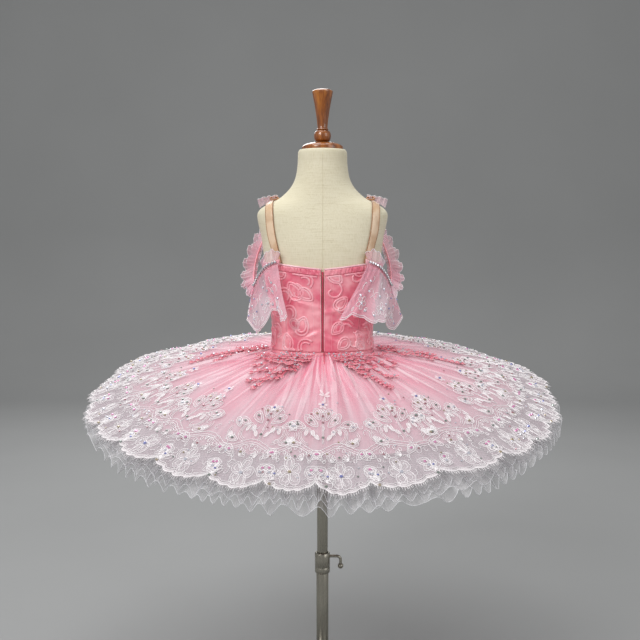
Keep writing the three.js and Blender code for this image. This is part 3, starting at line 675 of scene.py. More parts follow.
def buildBodice():
    hem = waistHeight - 0.3
    for name, node, start, end in panelTable:
        first = start + degrees(bodice["zipHalf" if start == 0 else "seam"] / 80)
        last = end - degrees(bodice["zipHalf" if end == 360 else "seam"] / 80)

        def surface(u, v, away):
            angle = np.radians(first + (last - first) * u)
            height = hem + (necklineHeight(angle) - hem) * v
            return bodiceSkin(angle, height, away)

        columns = 40 if name == "frontPanel" else 24
        panel = wallMesh(name, columns, bodice["rows"], surface, bodice["near"], bodice["far"], satin)
        sew(panel, "rose_satin", node)
    buildBodiceTrim()
    print("bodice sewn")


def bodiceLine(angles, heights, away):
    return bodiceSkin(np.radians(angles), np.asarray(heights, float), bodice["far"] + away)


def teardrop(length, width, count=14):
    s = np.linspace(0, 2 * pi, count, endpoint=False)
    along = length * (1 - np.cos(s)) / 2
    side = width / 2 * np.sin(s) * (0.35 + 0.65 * np.sin(s / 2)) * 1.15
    return along, side


# Raised corded figures of the bodice's satin: each has its own angle, height, lean and size.
def bodiceFigures():
    lines, pads = [], []
    stepAcross, stepUp = bodice["figureAcross"], bodice["figureUp"]
    for row in range(6):
        for column in range(23):
            across = (column - 11 + 0.5 * (row % 2)) * stepAcross + 3 * sin(4.1 * row + column)
            height = 624 + row * stepUp + 4 * sin(2.1 * column + row)
            kind = (column * 2 + row * 3 + column // 3) % 4
            lean = (0.9 * sin(1.7 * column + 2.3 * row)) + (pi if kind == 1 else 0)
            size = 1.05 + 0.2 * sin(3.1 * column + 1.3 * row)
            shapes = []
            if kind in (0, 1):
                shapes.append((*teardrop(27 * size, 21 * size, 20), True))
                along, side = teardrop(19 * size, 13 * size, 16)
                shapes.append((along + 4, side, True))
            elif kind == 2:
                turn = np.linspace(0.2, 5.2, 22)
                radius = np.linspace(14, 3, 22) * size
                shapes.append((radius * np.cos(turn) + 8, radius * np.sin(turn), False))
            else:
                turn = np.linspace(-1.3, 1.5, 14)
                shapes.append((18 * size * np.cos(turn) - 4, 15 * size * np.sin(turn), False))
                shapes.append((11 * size * np.cos(turn) - 3, 9 * size * np.sin(turn), False))
            for along, side, closed in shapes:
                x = across + along * sin(lean) + side * cos(lean)
                z = height + along * cos(lean) - side * sin(lean)
                angle = x / 90
                roof = necklineHeight(angle) - bodice["casing"] - 2.5
                if np.abs(angle).max() > pi - 0.03 or (np.abs(x) < 3.5).any() or x.min() * x.max() < 0:
                    continue
                z = np.clip(z, waistHeight + 2.5, roof)
                lines.append((angle, z, closed))
                if closed and len(x) == 16:
                    pads.append((angle, z))
    return lines, pads


def buildBodiceTrim():
    lines, pads = bodiceFigures()
    for name, closed in (("cordDrops", True), ("cordCurls", False)):
        chosen = [line for line in lines if line[2] == closed]
        paths = [bodiceSkin(angles, heights, bodice["far"] + 0.15) for angles, heights, _ in chosen]
        facing = [tuple(path.mean(0) * (1, 1, 0)) for path in paths]
        # The cords use the lighter satin copy: painted highlight on the raised rolls.
        made = cordMesh(name, paths, bodice["cord"], paleSatinAndPaintedHighlight, 8, facing, closed)
        sew(made, "rose_satin")
    outlines = [bodiceSkin(angles, heights, bodice["far"] + 0.1) for angles, heights in pads]
    lifts = []
    for path in outlines:
        away = path.mean(0) * (1, 1, 0)
        lifts.append(away / np.linalg.norm(away) * bodice["padLift"])
    sew(fillMesh("cordPads", outlines, satin, lifts), "rose_satin")
    # casing below the top edge, and the piping on the edge
    gap = bodice["zipHalf"] / 80

    def casing(u, v, away):
        angle = gap + (2 * pi - 2 * gap) * u
        pucker = np.sin(angle * 74 + 3 * np.sin(angle * 17)) + 0.6 * np.sin(angle * 131 + 2)
        ruck = bodice["pucker"] * pucker * np.sin(pi * v) if away > 3 else 0
        height = necklineHeight(angle) - bodice["casing"] * (1 - v)
        return bodyPoint(height, angle, away + ruck)

    band = wallMesh("neckCasing", 640, 6, casing, 2.9, 4.1, satin)
    sew(band, "rose_satin")
    angles = np.linspace(gap, 2 * pi - gap, 260)
    edge = bodyPoint(necklineHeight(angles) + 1.7, angles, 2.4)
    piping = cordMesh("neckPiping", [edge], bodice["piping"], pipingSatin, 10)
    sew(piping, "pale_piping", "neckline_piping")
    # princess seams: a fine ridge of edge stitching on both sides
    ridges = []
    for seamAngle in (43, 92, 139, 221, 268, 317):
        for side in (-1.3, 1.3):
            heights = np.linspace(waistHeight + 1, necklineHeight(radians(seamAngle))[0] - 10, 60)
            ridges.append(bodiceLine(np.full(60, seamAngle + side), heights, 0.05))
    for side in (-1, 1):
        heights = np.linspace(waistHeight + 2, 745, 60)
        ridges.append(bodiceLine(np.full(60, side * 8.5), heights, 0.05))
    facing = [tuple(path.mean(0) * (1, 1, 0)) for path in ridges]
    # The stitching ridges use the lighter satin copy: painted highlight.
    sew(cordMesh("seamStitching", ridges, bodice["stitch"], paleSatinAndPaintedHighlight, 5, facing), "rose_satin")
    # the closed zip, its coil and the folded edge that covers it
    heights = np.linspace(waistHeight + 1, bodice["zipTop"], 90)
    tape = bodyPoint(heights, 0, 2.3)
    backwards = (0, -1, 0)
    sew(cordMesh("zipTape", [tape], bodice["zipCord"], zipTape, 8, backwards), "zip_crimson", "back_zip")
    teeth = []
    for number, (_, y, z) in enumerate(tape[1:-1]):
        side = 0.55 if number % 2 else -0.55
        teeth.append([(side - 0.3, y - 1.2, z), (side + 0.3, y - 1.2, z + 0.25)])
    sew(cordMesh("zipCoil", teeth[::4], bodice["coil"], steel, 5, backwards), "zip_crimson")
    folds = [bodiceLine(np.full(90, side * 1.5), heights, 0.1) for side in (-1, 1)]
    # The fold over the zip uses the lighter satin copy: painted highlight.
    sew(cordMesh("zipFold", folds, bodice["fold"], paleSatinAndPaintedHighlight, 8, backwards), "rose_satin")


# Straps and sleeves.

armLoop = [(73, 69, 773), (93, 62, 764), (107, 46, 748), (117, 20, 730), (122, -6, 738), (121, -30, 766),
           (112, -46, 798), (100, -52, 822)]
ruffleEdge = [
    (124, 34, 707), (140, 14, 727), (142, -8, 752), (136, -34, 786), (121, -54, 818), (108, -60, 833),
]
drapeHems = {
    1: [(26, 90, 674), (54, 93, 683), (85, 82, 670), (104, 72, 671), (125, 50, 654), (135, 14, 678),
        (128, -20, 692), (112, -46, 712)],
    -1: [(58, 92, 680), (67, 90, 673), (84, 76, 692), (98, 70, 660), (122, 50, 655), (129, 12, 672),
         (124, -20, 690), (110, -46, 710)],
}
strap = {"width": 12.4, "length": 300, "rim": 0.75, "loop": 7, "loopCord": 1.5}
sleeve = {"bandHalf": 3.2, "hem": 0.42, "chain": 14, "stone": 2.5, "cup": 2.4}
# name, puffs, share of the way to the edge, start along the arm loop, flat width and length
ruffleTable = [
    ("Outer", 7, 1.02, 0.44, (0.22, 0.0185)), ("Middle", 6, 0.74, 0.47, (0.18, 0.0145)),
    ("Inner", 5, -0.36, 0.5, (0.115, 0.0102)),
]


def sided(rows, side):
    return np.array(rows, float) * (side, -1, 1)


def awayFromBody(points):
    away = points * (0.8, 1, 0)
    return away / np.linalg.norm(away, axis=1)[:, None]


# Distance from inside the form to its surface along level-and-up lines over the shoulder.
def overShoulder(x, turn, outwards):
    x, turn = np.broadcast_arrays(np.atleast_1d(np.asarray(x, float)), turn)
    line = np.column_stack([np.zeros_like(turn), -np.cos(turn), np.sin(turn)])
    start = np.column_stack([x, np.zeros_like(x), np.full_like(x, 800)])
    near, far = np.zeros_like(x), np.full_like(x, 300)
    for _ in range(40):
        middle = (near + far) / 2
        point = start + line * middle[:, None]
        values = tableCurve(formSections, point[:, 2])
        share = np.abs(point[:, 0] / values[:, 0]) ** values[:, 3]
        share = share + np.abs((point[:, 1] - values[:, 2]) / values[:, 1]) ** values[:, 3]
        inside = (share < 1) & (point[:, 2] < neckTop)
        near, far = np.where(inside, middle, near), np.where(inside, far, middle)
    return start + line * (near + outwards)[:, None]


def buildStraps():
    for side, name in ((-1, "left"), (1, "right")):
        def surface(u, v, away):
            turn = np.radians(-27 + 217 * v)
            edge = 76 + 8 * v
            middle = edge + (92 - edge) * np.sin(pi * np.minimum(v / 0.9, 1))
            x = side * (middle + (u - 0.5) * strap["width"])
            return overShoulder(x, turn, away + 0.25 * np.cos((u - 0.5) * pi))

        made = wallMesh("strap" + name.title(), 8, 70, surface, 1.8, 3, elastic)
        sew(made, "beige_elastic", "strap_" + name)
        v = np.linspace(0, 1, 80)
        rims = [surface(np.full(80, u), v, 2.6) for u in (0.01, 0.99)]
        outward = (side * 0.5, -0.5, 0.7)
        # Darker cords on both rims of the strap: partly the elastic's side, partly painted shade.
        rim = cordMesh("strapEdge" + name.title(), rims, strap["rim"], elasticSideAndShade, 6, outward)
        sew(rim, "beige_elastic")
        # the loop where the strap doubles back on top of the shoulder
        x, y, z = overShoulder(side * 84.0, radians(88), 5.2)[0]
        ring = []
        for a in np.linspace(0, 2 * pi, 22, endpoint=False):
            ring.append((x + strap["loop"] * cos(a), y - 2 + 2.4 * sin(a), z + 2.3 * sin(a)))
        knot = cordMesh("strapLoop" + name.title(), [ring], strap["loopCord"], elasticSideAndShade, 8, closed=True)
        sew(knot, "beige_elastic")


def ripple(u, waves, phase=0.0):
    return np.sin(u * waves * 2 * pi + phase) + 0.45 * np.sin(u * waves * 4.7 * pi + 2 * phase + 1)


def buildSleeves():
    for side, name in ((-1, "left"), (1, "right")):
        title = name.title()
        loop = sided(armLoop, side)
        edge = sided(ruffleEdge, side)
        phase = 0.8 if side > 0 else 0.0

        def band(u, v, away):
            point = routeCurve(loop, u)
            pucker = 0.5 * np.sin(u * 300) * np.sin(pi * v)
            point[:, 2] += sleeve["bandHalf"] * (2 * v - 1)
            return point + awayFromBody(point) * (away + pucker)[:, None]

        bandMesh = wallMesh("armBand" + title, 150, 6, band, -0.7, 0.9, paleSatinAndPaintedHighlight)
        sew(bandMesh, "pink_tulle", "arm_band_" + name)

        def frill(u, v):
            x = 78 + 32 * u
            seat = overShoulder(side * x, np.full_like(x, radians(88)), 3.6)
            lift = (3.5 + 10 * u + 1.6 * np.abs(np.sin(u * 11 + phase))) * v
            y = seat[:, 1] - 3 * v + 2.6 * ripple(u, 4, phase) * v
            return np.column_stack([seat[:, 0] + side * 4 * u * v, y, seat[:, 2] + lift])

        made = sheetMesh("shoulderFrill" + title, 60, 8, frill, ruffleTulle)
        sew(made, "pink_tulle", "shoulder_frill_" + name)

        def fan(u, v):
            root = routeCurve(loop, 0.02 + 0.2 * u)
            arch = np.sin(pi * (0.16 + 0.68 * u))
            x = root[:, 0] + side * (u - 0.45) * 10 * v
            y = root[:, 1] - 2 * v - 2.2 * ripple(u, 4, phase) * v
            return np.column_stack([x, y, root[:, 2] + 4 + (21 + 2 * np.sin(u * 21)) * arch * v])

        made = sheetMesh("tulleFan" + title, 70, 12, fan, ruffleTulle)
        sew(made, "pink_tulle", "tulle_fan_" + name)
        hems = [fan(np.linspace(0, 1, 60), np.ones(60)), frill(np.linspace(0, 1, 60), np.ones(60))]
        for layer, (layerTitle, puffs, reach, start, flat) in enumerate(ruffleTable):
            def ruffle(u, v):
                root = routeCurve(loop, start + (0.99 - start) * u)
                root = root + awayFromBody(root) * 1.6
                puff = np.abs(np.sin(u * pi * puffs + phase + layer))
                tip = routeCurve(edge, u)
                way = (tip - root) * (reach * (0.72 + 0.36 * puff))[:, None]
                bulge = (puff - 0.5) * v ** 0.8
                fine = 1.1 * np.sin(u * 2 * pi * puffs * 3.3 + layer) * v
                spill = np.column_stack([0 * v, -7.0 * bulge - fine, 2.5 * bulge + fine - 1.5 * layer * v])
                return root + way * v[:, None] + spill

            made = sheetMesh("armRuffle" + title + layerTitle, 150, 14, ruffle, ruffleTulle)
            nodes = ["arm_ruffle_" + name] if layer == 0 else []
            sew(made, "pink_tulle", *nodes)
            hems.append(ruffle(np.linspace(0, 1, 150), np.ones(150)))
        sew(cordMesh("sleeveHems" + title, hems, sleeve["hem"], hemThread, 4, (0, -1, 0.1)), "pink_tulle")
        buildChain(title, name, loop)
        buildDrape(side, title, name, loop, phase)
    print("sleeves hung")


def buildChain(title, name, loop):
    count = sleeve["chain"]
    at = 0.02 + 0.44 * (np.arange(count) + 0.5) / count
    places = routeCurve(loop, at)
    away = awayFromBody(places) + (0, -0.5, 0.15)
    places = places + away * 3.6
    made = gemMesh("chainStones" + title, places, away, [sleeve["stone"]] * count, smokeStone)
    sew(made, "crystal", "gem_chain_" + name)
    cups = gemMesh("chainCups" + title, places - away * 0.9, away, [sleeve["cup"]] * count, cupSteel)
    sew(cups, "crystal")


# length and drop of the flat drape, where its motifs stand and its stones lie in each
drape = {
    "length": 250.0, "drop": 92.0, "motifs": (38, 84, 132, 184, 226), "thread": 0.5, "hem": 0.6,
    "stones": ((0, 24), (9, 50), (-12, 38), (16, 14), (-3, 66)), "clear": 2.3, "blue": 1.7,
}


def drapeSurface(side, loop, phase):
    hem = sided(drapeHems[side], side)

    def surface(u, v):
        root = routeCurve(loop, 0.01 + 0.74 * u)
        root = root + awayFromBody(root) * (2 + 2 * v)[:, None] - (0, 0, 4.2)
        foot = routeCurve(hem, u)
        foot[:, 2] -= 3.6 * np.abs(np.sin(u * 9 * pi)) - 1.4
        point = root + (foot - root) * v[:, None]
        flute = (4.6 * np.sin(u * 6 * pi + phase) + 1.8 * np.sin(u * 15 * pi + 1)) * v ** 0.8
        swing = 2.2 * np.sin(u * 4 * pi + 2.5 * v + phase) * np.sin(pi * v)
        fine = 0.6 * np.sin(u * 90 + phase) * (1 - v)
        return point + awayFromBody(point) * (flute + fine + swing)[:, None]
    return surface


def buildDrape(side, title, name, loop, phase):
    surface = drapeSurface(side, loop, phase)
    made = sheetMesh("laceDrape" + title, 150, 30, surface, drapeTulle)
    sew(made, "white_lace", "lace_drape_" + name)
    length, drop = drape["length"], drape["drop"]

    def onDrape(x, y):
        point = surface(np.clip(x / length, 0.003, 0.997), np.clip(1 - y / drop, 0.02, 1))
        return point + awayFromBody(point) * 0.35

    strokes, fills, gems = [], [], []
    for number, x in enumerate(drape["motifs"]):
        mirror = -1 if number % 2 else 1
        for stroke, filled, closed in drapeMotif(mirror, number):
            line = onDrape(x + stroke[0], np.maximum(stroke[1], 1.5))
            strokes.append(np.vstack([line, line[:1]]) if closed else line)
            if filled:
                fills.append(line)
        gems += [(x + across * mirror, up) for across, up in drape["stones"]]
    hemX = np.linspace(2, length - 2, 300)
    edges = [onDrape(hemX, np.full(300, 1.0)), onDrape(hemX, np.full(300, 4.5))]
    facing = (0, -1, 0.2)
    sew(cordMesh("drapeEmbroidery" + title, strokes, drape["thread"], laceThread, 4, facing), "white_lace")
    sew(cordMesh("drapeHem" + title, edges, drape["hem"], laceThread, 5, facing), "white_lace")
    sew(fillMesh("drapeFill" + title, fills, laceGauze), "white_lace")
    x, y = np.array(gems, float).T
    places = onDrape(x, y)
    facings = awayFromBody(places) + (0, -0.3, 0.1)
    half = len(places) // 2
    parts = (("drapeStones", "clear", slice(half)), ("drapeBlueStones", "blue", slice(half, None)))
    for stoneName, tint, part in parts:
        sizes = [drape[tint]] * len(places[part])
        sew(gemMesh(stoneName + title, places[part], facings[part], sizes, stones[tint]), "crystal")


def drapeMotif(mirror, number):
    motif = []
    for k in range(5):
        turn = k * 2 * pi / 5 + 0.3 * number
        motif.append((petal(0, 26, turn, 13, 8.5), k % 2 == 0, True))
    for x, y, start, end, size in ((13, 50, -1.2, 3.6, 11), (-12, 58, 4.4, 0.4, 9), (5, 74, -2.0, 2.6, 8)):
        motif.append((curl(x, y, 1.5, size, start, end), False, False))
    motif.append((petal(14, 12, 1.2, 9, 5), True, True))
    motif.append((petal(-14, 10, 2.0, 9, 5), False, True))
    return [((line[0] * mirror, line[1]), filled, closed) for line, filled, closed in motif]


# Lace motif strokes, each as arrays across and up.

def petal(x, y, turn, length, width, count=12):
    along, side = teardrop(length, width, count)
    return x + along * cos(turn) - side * sin(turn), y + along * sin(turn) + side * cos(turn)


def curl(x, y, small, large, start, end, count=18):
    turn = np.linspace(start, end, count)
    radius = np.linspace(large, small, count)
    return x + radius * np.cos(turn), y + radius * np.sin(turn)


# Skirt.

# The rim's radius and height, the depth of its lobes, and how far the front stands above the back.
skirt = {
    "rim": 394, "scallop": 15, "height": 542, "tilt": 68, "bulge": 7,
    "droop": 12, "lobes": 28, "seam": waistHeight - 2.5, "reach": 320.0, "subLobes": 7.5,
}
lobePitch = 2 * pi / skirt["lobes"]
# how far each lobe hangs out of line, one for each scallop from the centre back round
lobeUneven = [sin(2.3 * k) + 0.7 * sin(5.1 * k + 1) for k in range(skirt["lobes"])]
lobeDepth = [0.82 + 0.18 * sin(3.7 * k + 1) for k in range(skirt["lobes"])]


def layerPoint(angle, share, seam, rim, rimHeight):
    waist = bodyPoint(seam, angle, 4.0)
    far = np.column_stack([rim * np.sin(angle), -rim * np.cos(angle), rimHeight])
    point = waist + (far - waist) * share[:, None]
    point[:, 2] += skirt["bulge"] * 4 * share * (1 - share)
    return point


# The lobes differ in width, depth and height: the turn is bent before they are counted.
def lobeTurn(angle):
    return angle + 0.04 * np.sin(4 * angle + 1) + 0.022 * np.sin(7 * angle)


# Where the lobes' count is a given number, such as 3.5 for the middle of the fourth lobe.
def turnOfLobe(count):
    angles = np.linspace(-0.3, 2 * pi + 0.3, 2400)
    return float(np.interp(count * lobePitch, lobeTurn(angles), angles))


def scallopAt(angle):
    bent = lobeTurn(angle)
    lobes = skirt["lobes"]
    depth = np.interp(bent / lobePitch - 0.5, np.arange(lobes), lobeDepth, period=lobes)
    return np.abs(np.sin(bent * lobes / 2)) ** 0.75 * depth


def deepFold(angle, share):
    spread = np.minimum(share * 7, 1) * np.clip(1.15 - 1.35 * share, 0.1, 1)
    wander = 0.03 * np.sin(3 * angle) + 0.018 * np.sin(7 * angle + 2)
    twist = angle + wander * (1 + share)
    ridge = 1 - 2 * np.abs(np.sin(21 * twist + 0.8 * np.sin(4 * angle))) ** 0.8
    second = np.sin(53 * twist + 2 * np.sin(5 * angle))
    fromZip = (angle + pi) % (2 * pi) - pi - 0.02
    furrow = 7 * np.exp(-(fromZip / 0.045) ** 2) * np.exp(-share * 5)
    return spread * (2.9 * ridge + 0.9 * second) - furrow * np.minimum(share * 12, 1)


def lacePoint(angle, share):
    scallop = scallopAt(angle)
    fine = np.abs(np.sin(lobeTurn(angle) * skirt["lobes"] * 2.5))
    back = (0.5 + 0.5 * np.cos(angle)) ** 2
    rim = skirt["rim"] + skirt["scallop"] * scallop + skirt["subLobes"] * (fine - 0.5) * share ** 4
    height = skirt["height"] - skirt["tilt"] * np.cos(angle)
    point = layerPoint(angle, share, skirt["seam"], rim, height)
    lobes = skirt["lobes"]
    uneven = np.interp(lobeTurn(angle) / lobePitch - 0.5, np.arange(lobes), lobeUneven, period=lobes)
    lobe = skirt["droop"] * (0.6 - scallop) * share ** 3 * (0.35 + 0.65 * back)
    point[:, 2] += deepFold(angle, share) + lobe - 4.2 * uneven * share ** 4
    return point


# A place on the lace: a turn, a distance across it and a distance in from the lobe tips.
def onLace(turn, across, inward, lift=0.6):
    radius = skirt["rim"] + skirt["scallop"] - np.asarray(inward, float)
    angle = turn + np.asarray(across, float) / radius
    waist = bodyPoint(skirt["seam"], angle, 4.0)
    waistRadius = np.hypot(waist[:, 0], waist[:, 1])
    rim = skirt["rim"] + skirt["scallop"] * scallopAt(angle)
    share = np.clip((radius - waistRadius) / (rim - waistRadius), 0, 0.995)
    point = lacePoint(angle, share)
    point[:, 2] += lift
    return point


def edgeLine(inset, lift=0.5, count=skirt["lobes"] * 40):
    angle = np.linspace(0, 2 * pi, count, endpoint=False)
    point = lacePoint(angle, np.full(count, 1 - inset / skirt["reach"]))
    point[:, 2] += lift
    return point


# A stroke on the lace. Its units are 1.4 mm across and 2.05 mm inwards from the lobe tips.
def laceStroke(turn, line, lift=0.6):
    across = np.asarray(line[0], float) * 1.4
    inward = np.maximum(np.asarray(line[1], float) * 2.05, 0.8)
    return onLace(turn, across, inward, lift)


def eye(x, y, turn, length, width):
    ahead = 0.2 * length
    outer = petal(x, y, turn, length, width)
    inner = petal(x + ahead * cos(turn), y + ahead * sin(turn), turn, length * 0.6, width * 0.52)
    middle = (x + length * 0.55 * cos(turn), y + length * 0.55 * sin(turn))
    return outer, inner, middle


def lobeMotif(k):
    closed, opened, solid, gauze, gems = [], [], [], [], []
    lean = 0.25 * sin(1.9 * k)
    centre = (2.5 * sin(2.7 * k), 15 + 1.5 * sin(3.3 * k))
    for j in range(5):
        turn = pi / 2 + lean + j * 2 * pi / 5
        reach = 12.5 + 1.5 * sin(2.1 * j + k)
        outer = petal(*centre, turn, reach, 10.5)
        closed.append(outer)
        closed.append(petal(centre[0] + 2 * cos(turn), centre[1] + 2 * sin(turn), turn, reach - 4.5, 6))
        gauze.append(outer)
        for bend in (-0.25, 0.25):
            low, high = turn + bend, turn + bend * 0.9
            opened.append(([centre[0] + 5 * cos(low), centre[0] + 11 * cos(high)],
                           [centre[1] + 5 * sin(low), centre[1] + 11 * sin(high)]))
    gems.append((("blue", "clear", "clear", "gold")[k % 4], *centre, 2.2))
    for side in (-1, 1):
        for x, y, turn, tint in ((17, 29, 0.6, "pink"), (22, 20, -0.2, "pink"), (25, 11, 0.6, "clear")):
            heading = turn if side > 0 else pi - turn
            outer, inner, middle = eye(side * x, y, heading, 12.5, 8)
            closed += [outer, inner]
            gauze.append(outer)
            gems.append((tint, *middle, 1.7))
        for j in range(4):
            turn = pi / 2 + side * (0.25 + 0.42 * j)
            closed.append(petal(side * 9, 28, turn, 6.5, 2.8, 8))
        opened.append(curl(side * 28, 30, 1.2, 5.5, pi / 2, pi / 2 - side * 5.0, 16))
    # a shell in the notch between two lobes
    for j in range(5):
        turn = pi / 2 + (j - 2) * 0.5
        closed.append(petal(36, 9, turn, 9.5, 4))
        if j % 2:
            solid.append(petal(36 + 2 * cos(turn), 9 + 2 * sin(turn), turn, 5, 1.8, 8))
    gems.append((("gold", "green")[k % 2], 36, 5, 2.0))
    gems.append(("blue", 36, 14, 1.5))
    for j in range(7):
        x = (j - 3) * 5.2
        closed.append(petal(x, 36 - 0.045 * x * x + 1.2 * (j % 2), pi / 2, 3.4, 3.2, 8))
    gems.append((("green", "rose", "gold")[k % 3], 9 * sin(5 * k), 31, 1.6))
    return closed, opened, solid, gauze, gems


def scrollMotif(k):
    closed, opened, solid, gauze, gems = [], [], [], [], []
    size = 1 + 0.08 * sin(2.9 * k)
    lean = 3 * sin(1.3 * k)
    for side in (-1, 1):
        for offset in (0, 1.8, 3.4):
            end = -pi / 2 + side * (5.3 - offset / 3)
            opened.append(curl(side * 15, 54, 2.5, 13 - offset, -pi / 2, end, 24))
        for offset in (0, 2):
            start, end = pi / 2 - side * 0.5, pi / 2 - side * 5.2
            opened.append(curl(side * 31, 48, 1.4, 8 - offset, start, end, 20))
        opened.append(curl(side * 10, 76, 1.2, 5, -pi / 2, -pi / 2 + side * 4.4, 16))
        wanted = (
            (5, 62, 0.75, 18, 10, "green"), (3, 69, 1.25, 15, 8, "gold"),
            (17, 61, 0.25, 16, 9, "green"), (27, 56, 0.9, 12, 7, "clear"),
        )
        for x, y, turn, length, width, tint in wanted:
            heading = turn if side > 0 else pi - turn
            outer, inner, middle = eye(side * x, y, heading, length * size, width * size)
            closed += [outer, inner]
            gauze.append(outer)
            gems.append((tint, *middle, 1.7))
        for x, y, turn in ((4, 48, 0.9), (9, 52, 1.3), (18, 52, 1.9), (30, 45, 0.7)):
            heading = turn if side > 0 else pi - turn
            leaf = petal(side * x, y, heading, 6.5, 3.8, 9)
            solid.append(leaf)
            closed.append(leaf)
        outer, inner, middle = eye(side * 22, 42.5, 0.12 if side > 0 else pi - 0.12, 14, 7)
        closed += [outer, inner]
        gauze.append(outer)
        gems.append((("gold", "green")[k % 2], *middle, 1.8))
    rise = np.linspace(0, 1, 8)
    for offset in (-0.7, 0.7):
        opened.append((offset + lean * rise ** 2, 44 + 37 * rise))
    top = (lean, 87 * size)
    for j in range(5):
        turn = pi / 2 + 0.3 * k + j * 2 * pi / 5
        solid.append(petal(*top, turn, 5.0, 3.0, 9))
        if j < 3:
            closed.append(petal(lean, 78, pi / 2 + (j - 1) * 0.9, 4.4, 2.6, 8))
    gems += [("blue", *top, 1.8), ("rose", lean * 0.4, 66, 1.8), ("rose", lean * 0.7, 73, 1.8)]
    gems += [("green", 0, 50, 1.8), ("clear", lean + 9, 81, 1.4), ("rose", -12, 76, 1.3)]
    return closed, opened, solid, gauze, gems


# Thread thicknesses in mm, the counts of figures and stones, and where the sprig's petals lie.
laceWork = {
    "loop": 0.52, "line": 0.42, "edge": 0.85, "inner": 0.5, "fringe": 0.5, "arch": 0.5,
    "scrolls": 18, "filler": 400, "dots": 5, "dotSize": 1.6, "stone": 1.3, "arches": (74, 78, 84),
    "sprig": ((0, 99, 2.2, 8), (0, 99, 0.9, 8), (0, 98, 2.8, 6), (0, 98, 0.3, 6), (0, 98, 4.7, 9)),
}


# Small curls between the figures, and a pale winged sprig below the zip.
def laceFiller():
    opened, solid = [], []
    for number in range(laceWork["filler"]):
        turn = randoms.random() * 2 * pi
        y = 5 + randoms.random() ** 1.4 * 62
        hand = 1 if number % 2 else -1
        start = randoms.random() * 6.3
        size = 2.6 + 3.2 * randoms.random()
        opened.append((turn, curl(0, y, size * 0.25, size, start, start + hand * 4.4, 12)))
    for x, y, turn, length in laceWork["sprig"]:
        solid.append((0.012, petal(x, y, turn, length, 2.6, 9)))
    return opened, solid


def buildLace():
    def surface(u, v):
        return lacePoint(u * 2 * pi, v)

    net = sheetMesh("laceOverskirt", skirt["lobes"] * 30, 34, surface, laceNet, ring=True)
    sew(net, "white_lace", "overskirt_lace")
    lobeTurns = [turnOfLobe(k + 0.5) for k in range(skirt["lobes"])]
    scrolls = laceWork["scrolls"]
    scrollTurns = [(k + 0.16 * sin(2.3 * k)) * 2 * pi / scrolls for k in range(scrolls)]
    gems = {tint: [] for tint in stones}
    bands = (("Border", lobeTurns, lobeMotif, 6, 32), ("Scroll", scrollTurns, scrollMotif, 34, 60))
    for title, turns, motif, dotsFrom, dotsDeep in bands:
        loops, lines, fills, gauzes = [], [], [], []
        for k, turn in enumerate(turns):
            closed, opened, solid, gauze, stonesHere = motif(k)
            loops += [laceStroke(turn, line) for line in closed]
            lines += [laceStroke(turn, line) for line in opened]
            fills += [laceStroke(turn, line, 0.55) for line in solid]
            gauzes += [laceStroke(turn, line, 0.35) for line in gauze]
            for tint, x, y, size in stonesHere:
                gems[tint].append((laceStroke(turn, ([x], [y]), 0.9)[0], laceWork["stone"] * size))
            for dot in range(laceWork["dots"]):
                x = (randoms.random() - 0.5) * 60
                y = dotsFrom + randoms.random() * dotsDeep
                tint = ("clear", "green", "gold", "rose")[dot % 4]
                gems[tint].append((laceStroke(turn, ([x], [y]), 0.9)[0], laceWork["dotSize"]))
        if title == "Scroll":
            curls, wings = laceFiller()
            lines += [laceStroke(turn, line) for turn, line in curls]
            fills += [laceStroke(turn, line, 1.2) for turn, line in wings]
        made = cordMesh("lace" + title + "Loops", loops, laceWork["loop"], laceThread, closed=True)
        sew(made, "white_lace")
        sew(cordMesh("lace" + title + "Lines", lines, laceWork["line"], laceThread), "white_lace")
        sew(fillMesh("lace" + title + "Petals", fills, laceFill), "white_lace")
        sew(fillMesh("lace" + title + "Gauze", gauzes, laceGauze), "white_lace")
    for tint, placed in gems.items():
        places, sizes = zip(*placed)
        made = gemMesh(tint + "Stones", places, [(0, -0.3, 1)] * len(places), sizes, stones[tint])
        sew(made, "crystal")
    buildLaceEdge()
    print("lace embroidered")


def buildLaceEdge():
    rim = cordMesh("laceEdgeCord", [edgeLine(1)], laceWork["edge"], laceThread, 6, closed=True)
    sew(rim, "white_lace")
    inner = [edgeLine(4.5), edgeLine(7)]
    sew(cordMesh("laceInnerCord", inner, laceWork["inner"], laceThread, closed=True), "white_lace")
    count = skirt["lobes"] * 40
    outer, near = edgeLine(1.5, 0.2, count), edgeLine(5, 0.2, count)
    faces = [(i, (i + 1) % count, count + (i + 1) % count, count + i) for i in range(count)]
    band = makeObject("laceEdgeBand", np.vstack([outer, near]), faces, laceFill)
    sew(band, "white_lace")
    hairs = []
    count = skirt["lobes"] * 27
    root = edgeLine(0.5, 0.2, count)
    for i in range(count):
        away = root[i] * (1, 1, 0)
        away /= np.linalg.norm(away)
        reach = 4.4 + 1.2 * sin(i * 1.7) ** 2
        tip = root[i] + away * reach + (0, 0, -2.4 - 1.0 * sin(i * 2.9))
        hairs.append([root[i], tip])
    sew(cordMesh("laceFringe", hairs, laceWork["fringe"], laceThread, 3), "white_lace")
    # arched cords above the flowers
    angle = np.linspace(0, 2 * pi, skirt["lobes"] * 24, endpoint=False)
    arches = []
    for inward in laceWork["arches"]:
        dip = 8 * np.cos(lobeTurn(angle) * skirt["lobes"])
        arches.append(onLace(angle, np.zeros_like(angle), inward - dip, 0.6))
    sew(cordMesh("laceArches", arches, laceWork["arch"], laceThread, closed=True), "white_lace")


